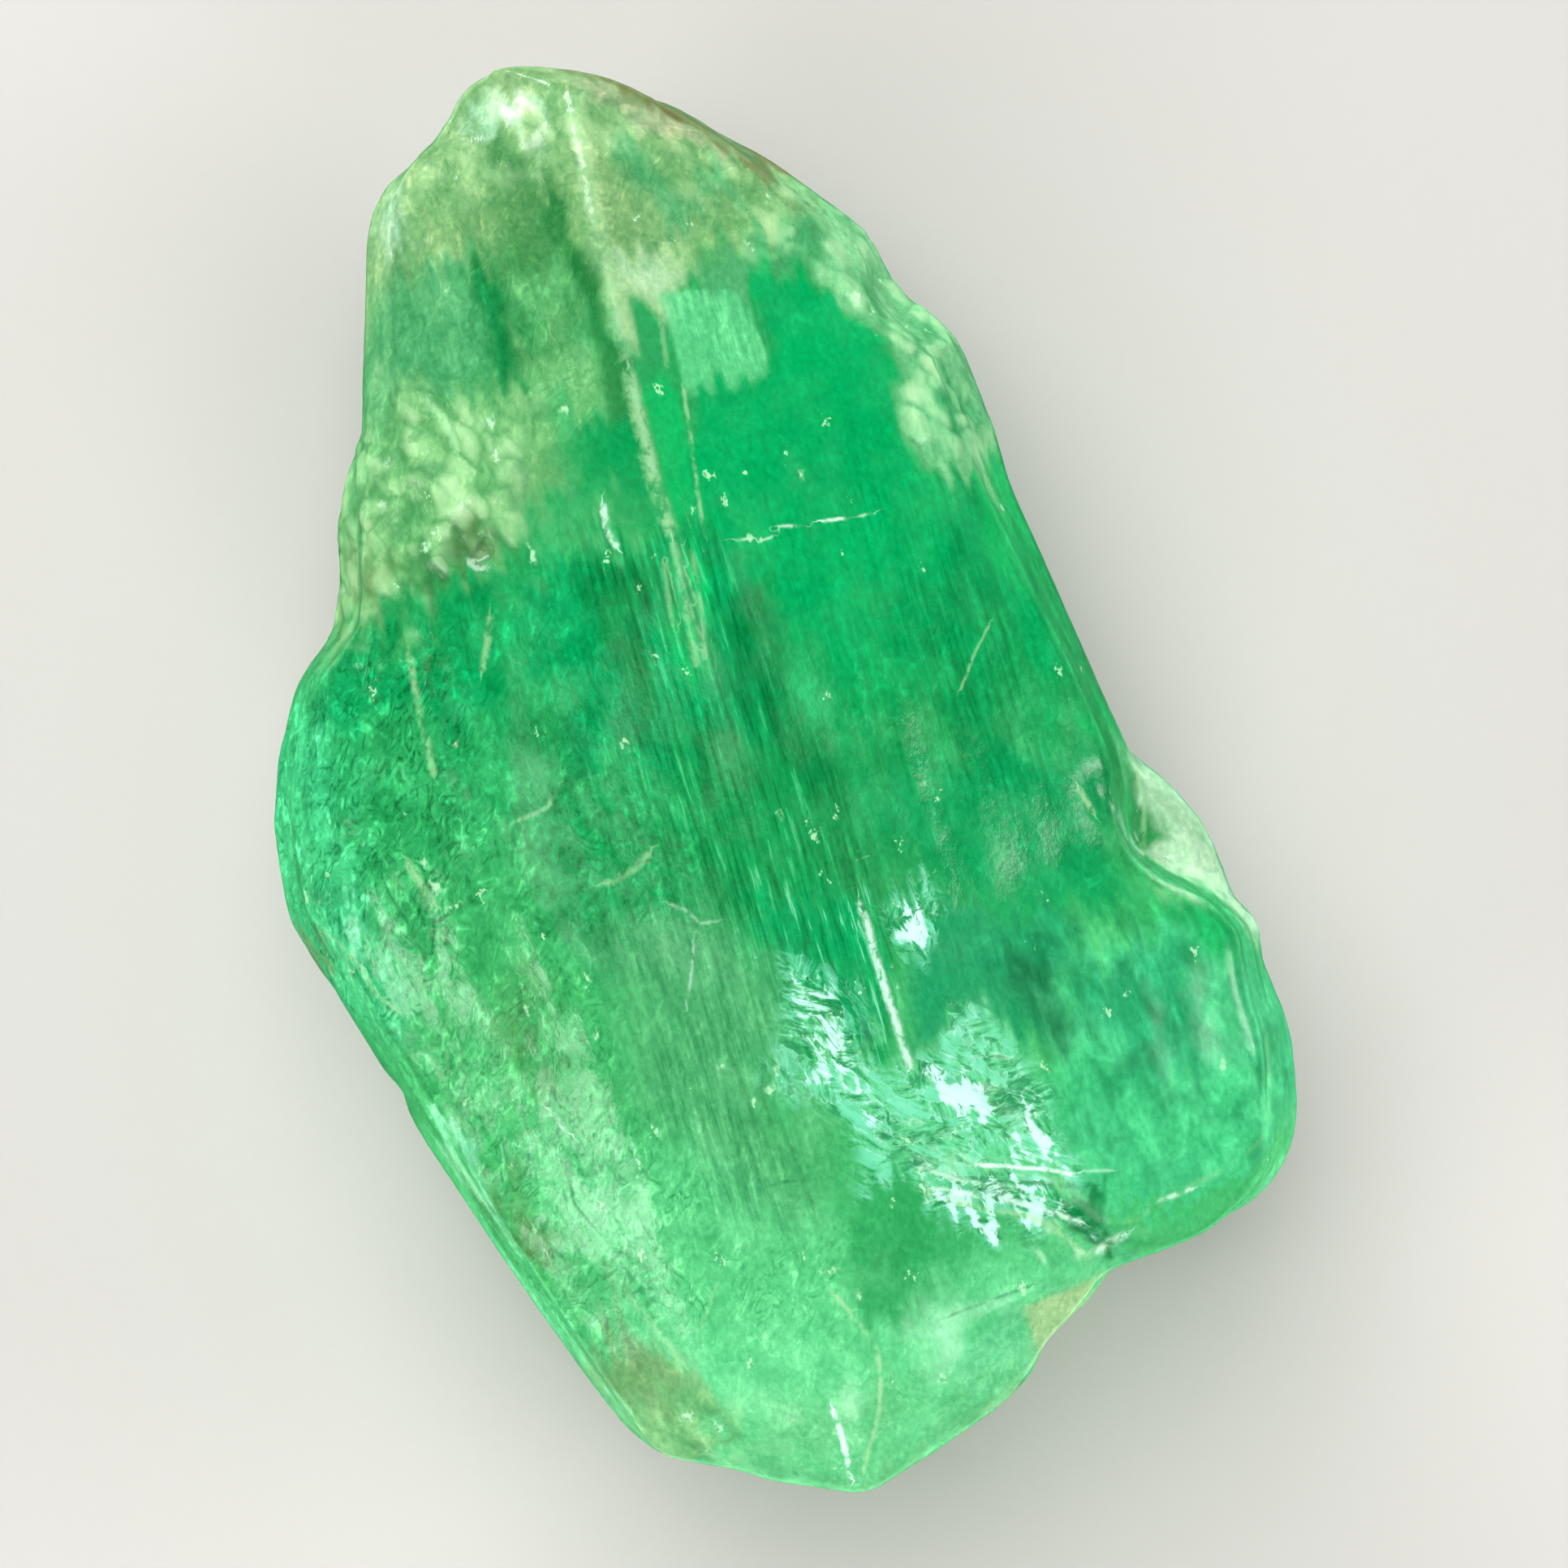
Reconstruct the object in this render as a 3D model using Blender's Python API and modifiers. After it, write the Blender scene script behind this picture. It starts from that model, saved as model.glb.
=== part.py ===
"""A rough emerald crystal: one broken hexagonal prism, lying on its back on a flat cleavage face.

The prism's long axis is +Y, towards its tip. +Z points up from the face it rests on.
Lengths in the tables are millimetres, and one scale turns them to metres at the end.
"""

import bmesh
import bpy
import numpy as np
from mathutils import Matrix, Vector, noise

# Driving dimensions, in millimetres
LENGTH = 20.0
HEIGHT = 8.4
REST_CUT = 0.06  # how much the flat rest face takes off the underside
RELIEF_FROM = 1.0  # height at which the faces have their full relief, fading out to the rest face
STATION_GAP = 0.25  # between the cross-sections of the prism
GRAIN = 0.13  # voxel of the skin that joins the chunks
TRIANGLES = 9200
TO_METRES = 0.001
SOFTNESS = 1.0  # length over which the faces bend from one slope to the next
ROUNDING_STEPS = 9
SEED = 11
WAVE_OFFSET, LUMP_OFFSET, LINE_OFFSET = 3.1, 7.3, 21.0  # where each relief starts in the noise
SEED_TURN = 1.7  # sideways shift of the noise for each unit of its offset

TIP, FOOT = LENGTH / 2, -LENGTH / 2

# Outline of the prism as seen from above: (y, x) at each corner of its two long sides
LEFT_SIDE = (
    (FOOT, -0.93), (-9.57, -2.15), (-8.67, -3.82), (-7.63, -4.26), (-5.43, -5.02), (-3.41, -5.61),
    (-1.36, -6.08), (-0.27, -6.43), (1.08, -6.31), (1.83, -6.06), (2.74, -5.54), (3.43, -4.72),
    (3.84, -4.55), (4.81, -4.31), (6.32, -3.53), (8.56, -2.84), (9.18, -2.34), (9.32, -1.74),
    (9.84, -1.10), (TIP, -0.90),
)
RIGHT_SIDE = (
    (FOOT, -0.80), (-9.69, 0.49), (-9.21, 1.67), (-8.54, 2.56), (-8.00, 3.36), (-7.75, 5.16),
    (-7.38, 5.92), (-6.80, 6.24), (-5.60, 6.46), (-4.60, 6.34), (-3.96, 6.43), (-3.30, 6.00),
    (-2.75, 5.34), (-2.45, 5.22), (-1.35, 5.42), (0.47, 5.15), (2.89, 4.80), (3.81, 4.82),
    (4.83, 4.72), (5.78, 4.24), (6.86, 3.83), (8.02, 2.88), (8.98, 1.84), (9.58, 1.08),
    (9.86, 0.42), (TIP, 0.06),
)

# The crest where the two front prism faces meet: (y, x) and (y, z)
CREST_X = (
    (FOOT, -0.87), (-6.0, -0.30), (0.0, 0.05), (3.24, 0.16), (4.68, 0.20), (7.99, 0.37), (9.45, 0.43),
    (TIP, -0.50),
)
CREST_Z = (
    (FOOT, 5.2), (-9.5, 6.2), (-8.2, 7.1), (-5.5, 7.9), (-1.5, HEIGHT), (2.5, 8.3), (4.7, 8.0),
    (6.5, 7.5), (8.2, 6.9), (9.4, 6.1), (TIP, 5.3),
)
REST_Z = (
    (FOOT, 1.8), (-9.3, 0.6), (-8.2, 0.0), (5.6, 0.0), (7.4, 0.3), (9.2, 1.5), (TIP, 2.6),
)

# Cross-sections from the crest round to the rest face, one list for each side. Each corner is
# (share of the way out to the side, share of the height above the rest face).
SECTIONS = {
    FOOT: {
        "left": ((0.45, 0.94), (0.84, 0.80), (1.00, 0.50), (0.88, 0.15), (0.50, 0.0)),
        "right": ((0.45, 0.95), (0.86, 0.82), (1.00, 0.52), (0.88, 0.15), (0.50, 0.0)),
    },
    -7.2: {
        "left": ((0.45, 0.95), (0.88, 0.78), (1.00, 0.44), (0.92, 0.14), (0.62, 0.0)),
        "right": ((0.45, 0.96), (0.88, 0.80), (1.00, 0.50), (0.90, 0.18), (0.56, 0.0)),
    },
    -4.6: {
        "left": ((0.45, 0.95), (0.89, 0.76), (1.00, 0.42), (0.92, 0.14), (0.64, 0.0)),
        "right": ((0.45, 0.96), (0.90, 0.82), (1.00, 0.54), (0.90, 0.18), (0.58, 0.0)),
    },
    0.0: {
        "left": ((0.45, 0.94), (0.88, 0.73), (1.00, 0.42), (0.92, 0.16), (0.66, 0.0)),
        "right": ((0.42, 0.95), (0.92, 0.76), (1.00, 0.44), (0.95, 0.20), (0.64, 0.0)),
    },
    3.5: {
        "left": ((0.42, 0.91), (0.86, 0.73), (1.00, 0.43), (0.92, 0.17), (0.62, 0.0)),
        "right": ((0.42, 0.91), (0.86, 0.74), (1.00, 0.43), (0.94, 0.20), (0.62, 0.0)),
    },
    6.5: {
        "left": ((0.42, 0.88), (0.84, 0.74), (1.00, 0.44), (0.92, 0.18), (0.58, 0.0)),
        "right": ((0.42, 0.88), (0.78, 0.74), (1.00, 0.42), (0.94, 0.20), (0.60, 0.0)),
    },
    TIP: {
        "left": ((0.45, 0.92), (0.84, 0.80), (1.00, 0.48), (0.88, 0.20), (0.50, 0.0)),
        "right": ((0.45, 0.92), (0.84, 0.80), (1.00, 0.48), (0.88, 0.20), (0.50, 0.0)),
    },
}

# Flat breaks across the underside and the ends: a point on each and the way it faces
BREAKS = (
    {"at": (0.0, 8.2, 1.6), "facing": (0.15, 0.62, -0.77)},
    {"at": (-3.3, 6.6, 2.0), "facing": (-0.72, 0.28, -0.63)},
    {"at": (4.1, 5.4, 2.4), "facing": (0.80, 0.34, -0.50)},
    {"at": (4.5, 0.6, 1.3), "facing": (0.62, -0.08, -0.78)},
    {"at": (-5.7, 0.4, 2.0), "facing": (-0.80, 0.12, -0.58)},
    {"at": (-4.6, -4.6, 1.4), "facing": (-0.70, -0.30, -0.65)},
    {"at": (-0.8, -9.0, 1.9), "facing": (-0.16, -0.80, -0.58)},
    {"at": (5.3, -6.9, 1.9), "facing": (0.52, -0.62, -0.59)},
)

# A thinner lobe behind the right flank: corners of its widest outline (x, y), and its levels
# (z, share of the outline's size)
REAR_LOBE = {
    "outline": (
        (5.10, -0.90), (5.79, -1.74), (6.14, -2.54), (6.16, -3.10), (6.30, -3.90), (4.40, -4.40),
        (3.40, -1.90), (4.20, -0.70),
    ),
    "middle": (4.7, -2.6),
    "levels": ((1.2, 0.72), (2.3, 1.0), (3.6, 0.98), (4.6, 0.76)),
}

# Relief of the front. A fold and a ledge follow a path (x, y); a ledge's ground is lower on the
# left of its path. A swell, a pit or a field of lumps is an ellipse (x, y, half width, half length).
SWELLS = (
    {"at": (4.4, -5.2, 2.6, 3.2), "height": 0.16},
    {"at": (-4.4, -0.6, 2.4, 3.4), "height": 0.35},
    {"at": (1.1, -4.6, 1.6, 2.4), "height": -0.08},
    {"at": (-2.2, 2.9, 2.4, 1.2), "height": -0.25},
)
GROOVES = (
    {"path": ((3.7, -8.2), (2.84, -7.57), (2.40, -6.85), (0.82, -5.72)), "width": 0.30, "depth": 0.42},
    {"path": ((5.50, -2.95), (4.95, -2.10), (4.65, -1.30)), "width": 0.20, "depth": 0.22},
    {"path": ((-5.3, 3.8), (-4.5, 3.25), (-3.6, 3.1)), "width": 0.34, "depth": 0.20},
)
LEDGES = (
    {"path": ((-0.73, -6.66), (-0.30, -7.71), (-0.37, -8.63), (-0.89, -9.8)), "step": 0.11, "run": 1.3},
    {"path": ((2.40, 6.20), (1.95, 4.75), (0.55, 4.90)), "step": 0.13, "run": 1.4},
    {"path": ((0.40, -3.90), (1.60, -5.00), (3.10, -6.00)), "step": 0.22, "run": 1.6},
    {"path": ((-3.45, -5.30), (-3.55, -4.80), (-3.35, -4.10), (-3.45, -2.10)), "step": 0.08, "run": 1.2},
)
PITS = (
    {"at": (-2.40, 3.74, 0.34, 0.26), "depth": 0.34},
    {"at": (-4.23, -5.08, 0.40, 0.30), "depth": 0.20},
    {"at": (-5.90, -3.05, 0.45, 0.26), "depth": 0.30},
    {"at": (3.95, 5.60, 0.50, 0.90), "depth": 0.22},
    {"at": (-3.90, 6.10, 0.55, 0.85), "depth": 0.16},
    {"at": (2.35, -8.85, 0.60, 0.40), "depth": 0.26},
    {"at": (6.50, -4.45, 0.30, 0.30), "depth": 0.20},
)
LUMPS = (
    {"at": (-2.7, 4.6, 2.1, 1.9), "size": 0.55, "height": 0.16},
    {"at": (0.4, 8.9, 2.8, 1.3), "size": 0.70, "height": 0.12},
    {"at": (4.1, 5.2, 0.9, 2.4), "size": 0.55, "height": 0.13},
    {"at": (-4.4, -0.3, 2.1, 2.9), "size": 0.80, "height": 0.12},
    {"at": (1.7, -4.9, 1.9, 1.2), "size": 0.55, "height": 0.14},
    {"at": (5.9, -3.4, 0.8, 0.9), "size": 0.50, "height": 0.12},
    {"at": (-2.6, -8.9, 1.8, 0.9), "size": 0.60, "height": 0.12},
)
LUMP_GAIN = 2.2  # from noise to rounded lumps with narrow gaps
LUMP_GROUND = 0.5  # how far the gaps lie below the face
LUMPS_ON_SIDES = 0.3  # share of the lumps that faces turned away from the front keep
GROWTH_LINES = {
    "spacing": 0.55, "stretch": 14.0, "height": 0.055,
    "crest": 0.13, "crest_width": 0.16, "crest_from": 2.6, "crest_fade": 0.8,
}
FADE_SHARE = 0.2  # of a groove or ledge, over which each of its ends dies away
LEDGE_BLUR = 0.09  # across a ledge's edge
WAVES = ((3.4, 0.17), (1.3, 0.06))  # broad unevenness of every face: (size, height)
WAVES_ON_SIDES = 0.3  # share of it that upright faces keep
FRONT_GAIN = 2.5  # how soon a face counts as front as it turns upwards


def along(corners, place, rounding=0.0):
    """Read a line of (place, value) corners at one place, with each corner rounded over some length."""
    places, values = zip(*corners)
    window = np.linspace(place - rounding, place + rounding, ROUNDING_STEPS)
    return float(np.mean(np.interp(window, places, values)))


def profile(y, side):
    """The corners of one side of the cross-section at y, blended between the two nearest sections."""
    blended = []
    for corner in range(len(SECTIONS[FOOT][side])):
        outs = [(at, section[side][corner][0]) for at, section in SECTIONS.items()]
        ups = [(at, section[side][corner][1]) for at, section in SECTIONS.items()]
        blended.append((along(outs, y, SOFTNESS), along(ups, y, SOFTNESS)))
    return blended


def cross_section(y):
    """The closed ring of points round the prism at y, starting at the crest and going right."""
    crest_x, crest_z = along(CREST_X, y), along(CREST_Z, y, SOFTNESS)
    rest_z = along(REST_Z, y)
    height = crest_z - rest_z
    right_x, left_x = along(RIGHT_SIDE, y), along(LEFT_SIDE, y)
    right = [(crest_x + out * (right_x - crest_x), rest_z + up * height) for out, up in profile(y, "right")]
    left = [(crest_x + out * (left_x - crest_x), rest_z + up * height) for out, up in profile(y, "left")]
    ring = [(crest_x, crest_z)] + right + left[::-1]
    return [Vector((x, y, z)) for x, z in ring]


def new_object(name, shape, collection):
    mesh = bpy.data.meshes.new(name)
    shape.to_mesh(mesh)
    shape.free()
    obj = bpy.data.objects.new(name, mesh)
    collection.objects.link(obj)
    return obj


def make_prism(name, collection):
    """Loft the unlike cross-sections from the foot to the tip."""
    shape = bmesh.new()
    stations = np.linspace(FOOT, TIP, round(LENGTH / STATION_GAP) + 1)
    rings = [[shape.verts.new(point) for point in cross_section(y)] for y in stations]
    for low, high in zip(rings, rings[1:]):
        for i, corner in enumerate(low):
            shape.faces.new((corner, low[i - 1], high[i - 1], high[i]))
    shape.faces.new(rings[0])
    shape.faces.new(rings[-1])
    bmesh.ops.recalc_face_normals(shape, faces=shape.faces)
    return new_object(name, shape, collection)


def make_lobe(name, lobe, collection):
    """Wrap a skin round one outline, repeated at several heights and sizes."""
    shape = bmesh.new()
    middle_x, middle_y = lobe["middle"]
    for z, share in lobe["levels"]:
        for x, y in lobe["outline"]:
            shape.verts.new((middle_x + share * (x - middle_x), middle_y + share * (y - middle_y), z))
    wrapped = bmesh.ops.convex_hull(shape, input=shape.verts)
    bmesh.ops.delete(shape, geom=wrapped["geom_interior"], context="VERTS")
    bmesh.ops.recalc_face_normals(shape, faces=shape.faces)
    return new_object(name, shape, collection)


def break_off(chunk, flats):
    """Cut a chunk along each flat break, and close it there."""
    shape = bmesh.new()
    shape.from_mesh(chunk.data)
    for flat in flats:
        cut_flat(shape, Vector(flat["at"]), Vector(flat["facing"]))
    shape.to_mesh(chunk.data)
    shape.free()


def cut_flat(shape, at, facing):
    """Remove what lies beyond a plane, and fill the hole that this leaves with one flat face."""
    everything = list(shape.verts) + list(shape.edges) + list(shape.faces)
    bmesh.ops.bisect_plane(
        shape, geom=everything, dist=1e-5, plane_co=at, plane_no=facing, clear_outer=True
    )
    rim = [edge for edge in shape.edges if edge.is_boundary]
    bmesh.ops.holes_fill(shape, edges=rim)
    bmesh.ops.recalc_face_normals(shape, faces=shape.faces)


def apply_modifiers(obj):
    """Replace the object's mesh by what its modifiers make of it."""
    graph = bpy.context.evaluated_depsgraph_get()
    obj.data = bpy.data.meshes.new_from_object(obj.evaluated_get(graph))
    obj.modifiers.clear()


def join_chunks(body, chunks):
    """Grow the chunks together, with one even skin over them."""
    for chunk in chunks:
        union = body.modifiers.new("join " + chunk.name, "BOOLEAN")
        union.operation = "UNION"
        union.object = chunk
    skin = body.modifiers.new("skin", "REMESH")
    skin.mode = "VOXEL"
    skin.voxel_size = GRAIN
    apply_modifiers(body)
    for chunk in chunks:
        bpy.data.objects.remove(chunk)


def beside_path(points, path):
    """Distance in plan from each point to the path, above zero on its left, and a fade at its ends."""
    nearest = np.full(len(points), np.inf)
    fade = np.zeros(len(points))
    legs = len(path) - 1
    for leg, (start, end) in enumerate(zip(path, path[1:])):
        start, run = np.array(start), np.subtract(end, start)
        share = np.clip((points - start) @ run / (run @ run), 0, 1)
        away = points - start - share[:, None] * run
        turn = run[0] * away[:, 1] - run[1] * away[:, 0]
        distance = np.copysign(np.hypot(away[:, 0], away[:, 1]), turn)
        closer = np.abs(distance) < np.abs(nearest)
        nearest[closer] = distance[closer]
        passed = (leg + share[closer]) / legs
        fade[closer] = np.clip(np.minimum(passed, 1 - passed) / FADE_SHARE, 0, 1)
    return nearest, fade


def inside_ellipse(points, at):
    """1 at the middle of an ellipse in plan, falling smoothly to 0 at its rim."""
    x, y, half_width, half_length = at
    away = ((points[:, 0] - x) / half_width) ** 2 + ((points[:, 1] - y) / half_length) ** 2
    return np.clip(1 - away, 0, 1) ** 2


def noise_at(points, size, offset, stretch=1.0):
    """Smooth noise between about -1 and 1; stretch draws it out along the prism's axis."""
    shift = Vector((offset, offset * SEED_TURN, SEED))
    return np.array([noise.noise(Vector((x, y / stretch, z)) / size + shift) for x, y, z in points])


def relief(points, normals):
    """How far each point of the skin moves along its normal, in millimetres."""
    plan = points[:, :2]
    front = np.clip(normals[:, 2] * FRONT_GAIN, 0, 1)
    level = WAVES_ON_SIDES + (1 - WAVES_ON_SIDES) * np.abs(normals[:, 2])
    spread = LUMPS_ON_SIDES + (1 - LUMPS_ON_SIDES) * front
    move = np.zeros(len(points))
    for number, (size, height) in enumerate(WAVES):
        move += height * level * noise_at(points, size, WAVE_OFFSET * number)
    for swell in SWELLS:
        move += swell["height"] * front * inside_ellipse(plan, swell["at"])
    for number, field in enumerate(LUMPS):
        lumps = LUMP_GAIN * np.abs(noise_at(points, field["size"], LUMP_OFFSET + number)) - LUMP_GROUND
        move += field["height"] * lumps * spread * inside_ellipse(plan, field["at"]) ** 0.5
    for groove in GROOVES:
        distance, fade = beside_path(plan, groove["path"])
        move -= groove["depth"] * front * fade * np.exp(-(distance / groove["width"]) ** 2)
    for ledge in LEDGES:
        distance, fade = beside_path(plan, ledge["path"])
        below = (1 + np.tanh(distance / LEDGE_BLUR)) / 2 * np.clip(1 - distance / ledge["run"], 0, 1)
        move -= ledge["step"] * front * fade * below
    for pit in PITS:
        move -= pit["depth"] * inside_ellipse(plan, pit["at"])
    move += growth_relief(points, front)
    return move * np.clip(points[:, 2] / RELIEF_FROM, 0, 1)


def growth_relief(points, front):
    """Lines of growth that run along the prism, and the narrow raised crest between its front faces."""
    lines = noise_at(points, GROWTH_LINES["spacing"], LINE_OFFSET, GROWTH_LINES["stretch"])
    upper = np.clip((points[:, 1] - GROWTH_LINES["crest_from"]) / GROWTH_LINES["crest_fade"], 0, 1)
    crest_x = np.interp(points[:, 1], *zip(*CREST_X))
    crest = np.exp(-np.abs(points[:, 0] - crest_x) / GROWTH_LINES["crest_width"])
    return GROWTH_LINES["height"] * lines + GROWTH_LINES["crest"] * front * upper * crest


def shape_skin(body):
    """Move each of the skin's points by the relief."""
    mesh = body.data
    points = np.empty(len(mesh.vertices) * 3)
    normals = np.empty(len(mesh.vertices) * 3)
    mesh.vertices.foreach_get("co", points)
    mesh.vertices.foreach_get("normal", normals)
    points, normals = points.reshape(-1, 3), normals.reshape(-1, 3)
    points += normals * relief(points, normals)[:, None]
    mesh.vertices.foreach_set("co", points.ravel())
    mesh.update()


def cut_rest_face(body):
    """Cut the underside flat, so that the crystal lies still, and set the middle of its footprint at 0."""
    shape = bmesh.new()
    shape.from_mesh(body.data)
    level = Vector((0, 0, min(vert.co.z for vert in shape.verts) + REST_CUT))
    cut_flat(shape, level, Vector((0, 0, -1)))
    xs = [vert.co.x for vert in shape.verts]
    ys = [vert.co.y for vert in shape.verts]
    foot = Vector(((min(xs) + max(xs)) / 2, (min(ys) + max(ys)) / 2, level.z))
    bmesh.ops.translate(shape, verts=shape.verts, vec=-foot)
    shape.to_mesh(body.data)
    shape.free()


def thin_out(body):
    """Keep triangles where the surface turns, and few where it is flat."""
    thin = body.modifiers.new("thin out", "DECIMATE")
    thin.ratio = TRIANGLES / (2 * len(body.data.polygons))
    apply_modifiers(body)


def emerald_material():
    material = bpy.data.materials.new("emerald")
    material.use_nodes = True
    surface = material.node_tree.nodes["Principled BSDF"]
    surface.inputs["Base Color"].default_value = (0.06, 0.48, 0.17, 1)
    surface.inputs["Roughness"].default_value = 0.12
    surface.inputs["Metallic"].default_value = 0.0
    surface.inputs["IOR"].default_value = 1.58
    surface.inputs["Transmission Weight"].default_value = 0.6
    return material


def main():
    for obj in list(bpy.data.objects):
        bpy.data.objects.remove(obj)
    crystal = bpy.data.collections.new("emerald_crystal")
    bpy.context.scene.collection.children.link(crystal)

    body = make_prism("emerald_crystal", crystal)
    rear_lobe = make_lobe("rear lobe", REAR_LOBE, crystal)
    for chunk in (body, rear_lobe):
        break_off(chunk, BREAKS)
    join_chunks(body, [rear_lobe])
    shape_skin(body)
    thin_out(body)
    cut_rest_face(body)
    body.data.transform(Matrix.Scale(TO_METRES, 4))
    body.data.materials.append(emerald_material())


main()
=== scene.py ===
import math
import bmesh
import bpy
import numpy as np
from mathutils import Matrix, Vector, noise


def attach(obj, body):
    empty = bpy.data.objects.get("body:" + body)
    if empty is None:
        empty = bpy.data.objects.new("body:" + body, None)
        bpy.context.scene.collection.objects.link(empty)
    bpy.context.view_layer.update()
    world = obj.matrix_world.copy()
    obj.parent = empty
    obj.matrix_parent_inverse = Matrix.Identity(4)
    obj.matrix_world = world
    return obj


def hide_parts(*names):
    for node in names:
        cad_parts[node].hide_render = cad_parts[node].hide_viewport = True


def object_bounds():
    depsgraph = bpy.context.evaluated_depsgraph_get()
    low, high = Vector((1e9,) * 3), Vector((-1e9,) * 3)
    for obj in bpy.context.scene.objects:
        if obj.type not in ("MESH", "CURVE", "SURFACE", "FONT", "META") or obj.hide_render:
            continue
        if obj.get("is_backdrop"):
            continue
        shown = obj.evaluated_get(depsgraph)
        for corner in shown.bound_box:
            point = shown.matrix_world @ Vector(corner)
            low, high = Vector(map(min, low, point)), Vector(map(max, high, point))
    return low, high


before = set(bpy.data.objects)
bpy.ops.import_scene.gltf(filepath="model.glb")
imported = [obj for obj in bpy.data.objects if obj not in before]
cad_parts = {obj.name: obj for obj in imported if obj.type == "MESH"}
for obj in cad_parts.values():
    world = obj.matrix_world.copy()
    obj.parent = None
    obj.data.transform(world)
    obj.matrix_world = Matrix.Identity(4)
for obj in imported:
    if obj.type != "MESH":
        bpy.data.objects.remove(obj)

lowCorner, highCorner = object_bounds()
cadBox = [list(lowCorner), list(highCorner)]

perMetre = 1000.0  # the crystal is shaped in millimetres, then scaled to metres


def linearHex(text):
    parts = [int(text[i:i + 2], 16) / 255 for i in (1, 3, 5)]
    return tuple(p / 12.92 if p <= 0.04045 else ((p + 0.055) / 1.055) ** 2.4 for p in parts) + (1.0,)


def addNode(tree, kind, inputs=None, **settings):
    # A node given as an input stands for the first of its outputs in use
    node = tree.nodes.new(kind)
    for name, value in settings.items():
        setattr(node, name, value)
    for socket, value in (inputs or {}).items():
        if isinstance(value, bpy.types.Node):
            value = next(output for output in value.outputs if output.enabled)
        if isinstance(value, bpy.types.NodeSocket):
            tree.links.new(value, node.inputs[socket])
        else:
            node.inputs[socket].default_value = value
    return node


def newMaterial(name):
    material = bpy.data.materials.new(name)
    material.use_nodes = True
    material.node_tree.nodes.clear()
    return material, material.node_tree


# The crystal's skin: the solid's own form with a finer relief on it. All in millimetres.
crystalSkin = {
    "grain": 0.072,  # between neighbouring points of the skin
    "faces": 186000,  # kept in all, with the fewest on the back
    "smoothing": 15,  # rounds of it everywhere
    "wornSmoothing": 50,  # and more on the worn sides and in the worn area: strength, fade and corners
    "wornArea": (1.0, 1.6, ((-5.0, 0.5), (0.2, 0.5), (0.4, -5.0), (0.0, -9.4), (-4.6, -8.6))),
    "lineSpacing": 0.30,  # growth lines along the prism
    "lineDepth": 0.014,
    "clodDepth": 0.10,  # rounded lumps of the cloudy patches
    "wormSize": 0.36,  # etched curls
    "wormDepth": 0.036,
    "hackleDepth": 0.070,  # splintery steps of the fresh fracture
    "grainSize": 0.24,  # unevenness that is everywhere
    "grainDepth": 0.012,
}

# Tones of the stone, from its clear deep heart to its milky and weathered parts
stoneTones = {
    "deep": "#008a46",
    "shade": "#009e54",
    "emerald": "#00aa60",
    "heart": "#00b664",
    "vivid": "#0ec468",
    "spring": "#46d08a",
    "leaf": "#2cac60",
    "meadow": "#48c270",
    "mint": "#6ce298",
    "haze": "#84d494",
    "paleMint": "#8cf2b8",
    "milkWhite": "#c8f6cc",
    "milk": "#54b474",
    "moss": "#268440",
    "sage": "#80b876",
    "cream": "#b0e09e",
    "wheat": "#b6c698",
    "sea": "#1ea66c",
    "seaShade": "#24744a",
}

# The stone's tone from foot to tip, by millimetres along the prism
lengthTones = {
    -10: "sage", -8: "mint", -6: "meadow", -4: "meadow", -2: "leaf", 0: "leaf",
    2: "emerald", 4: "leaf", 6: "leaf", 8: "sage", 10: "sage",
}

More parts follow.
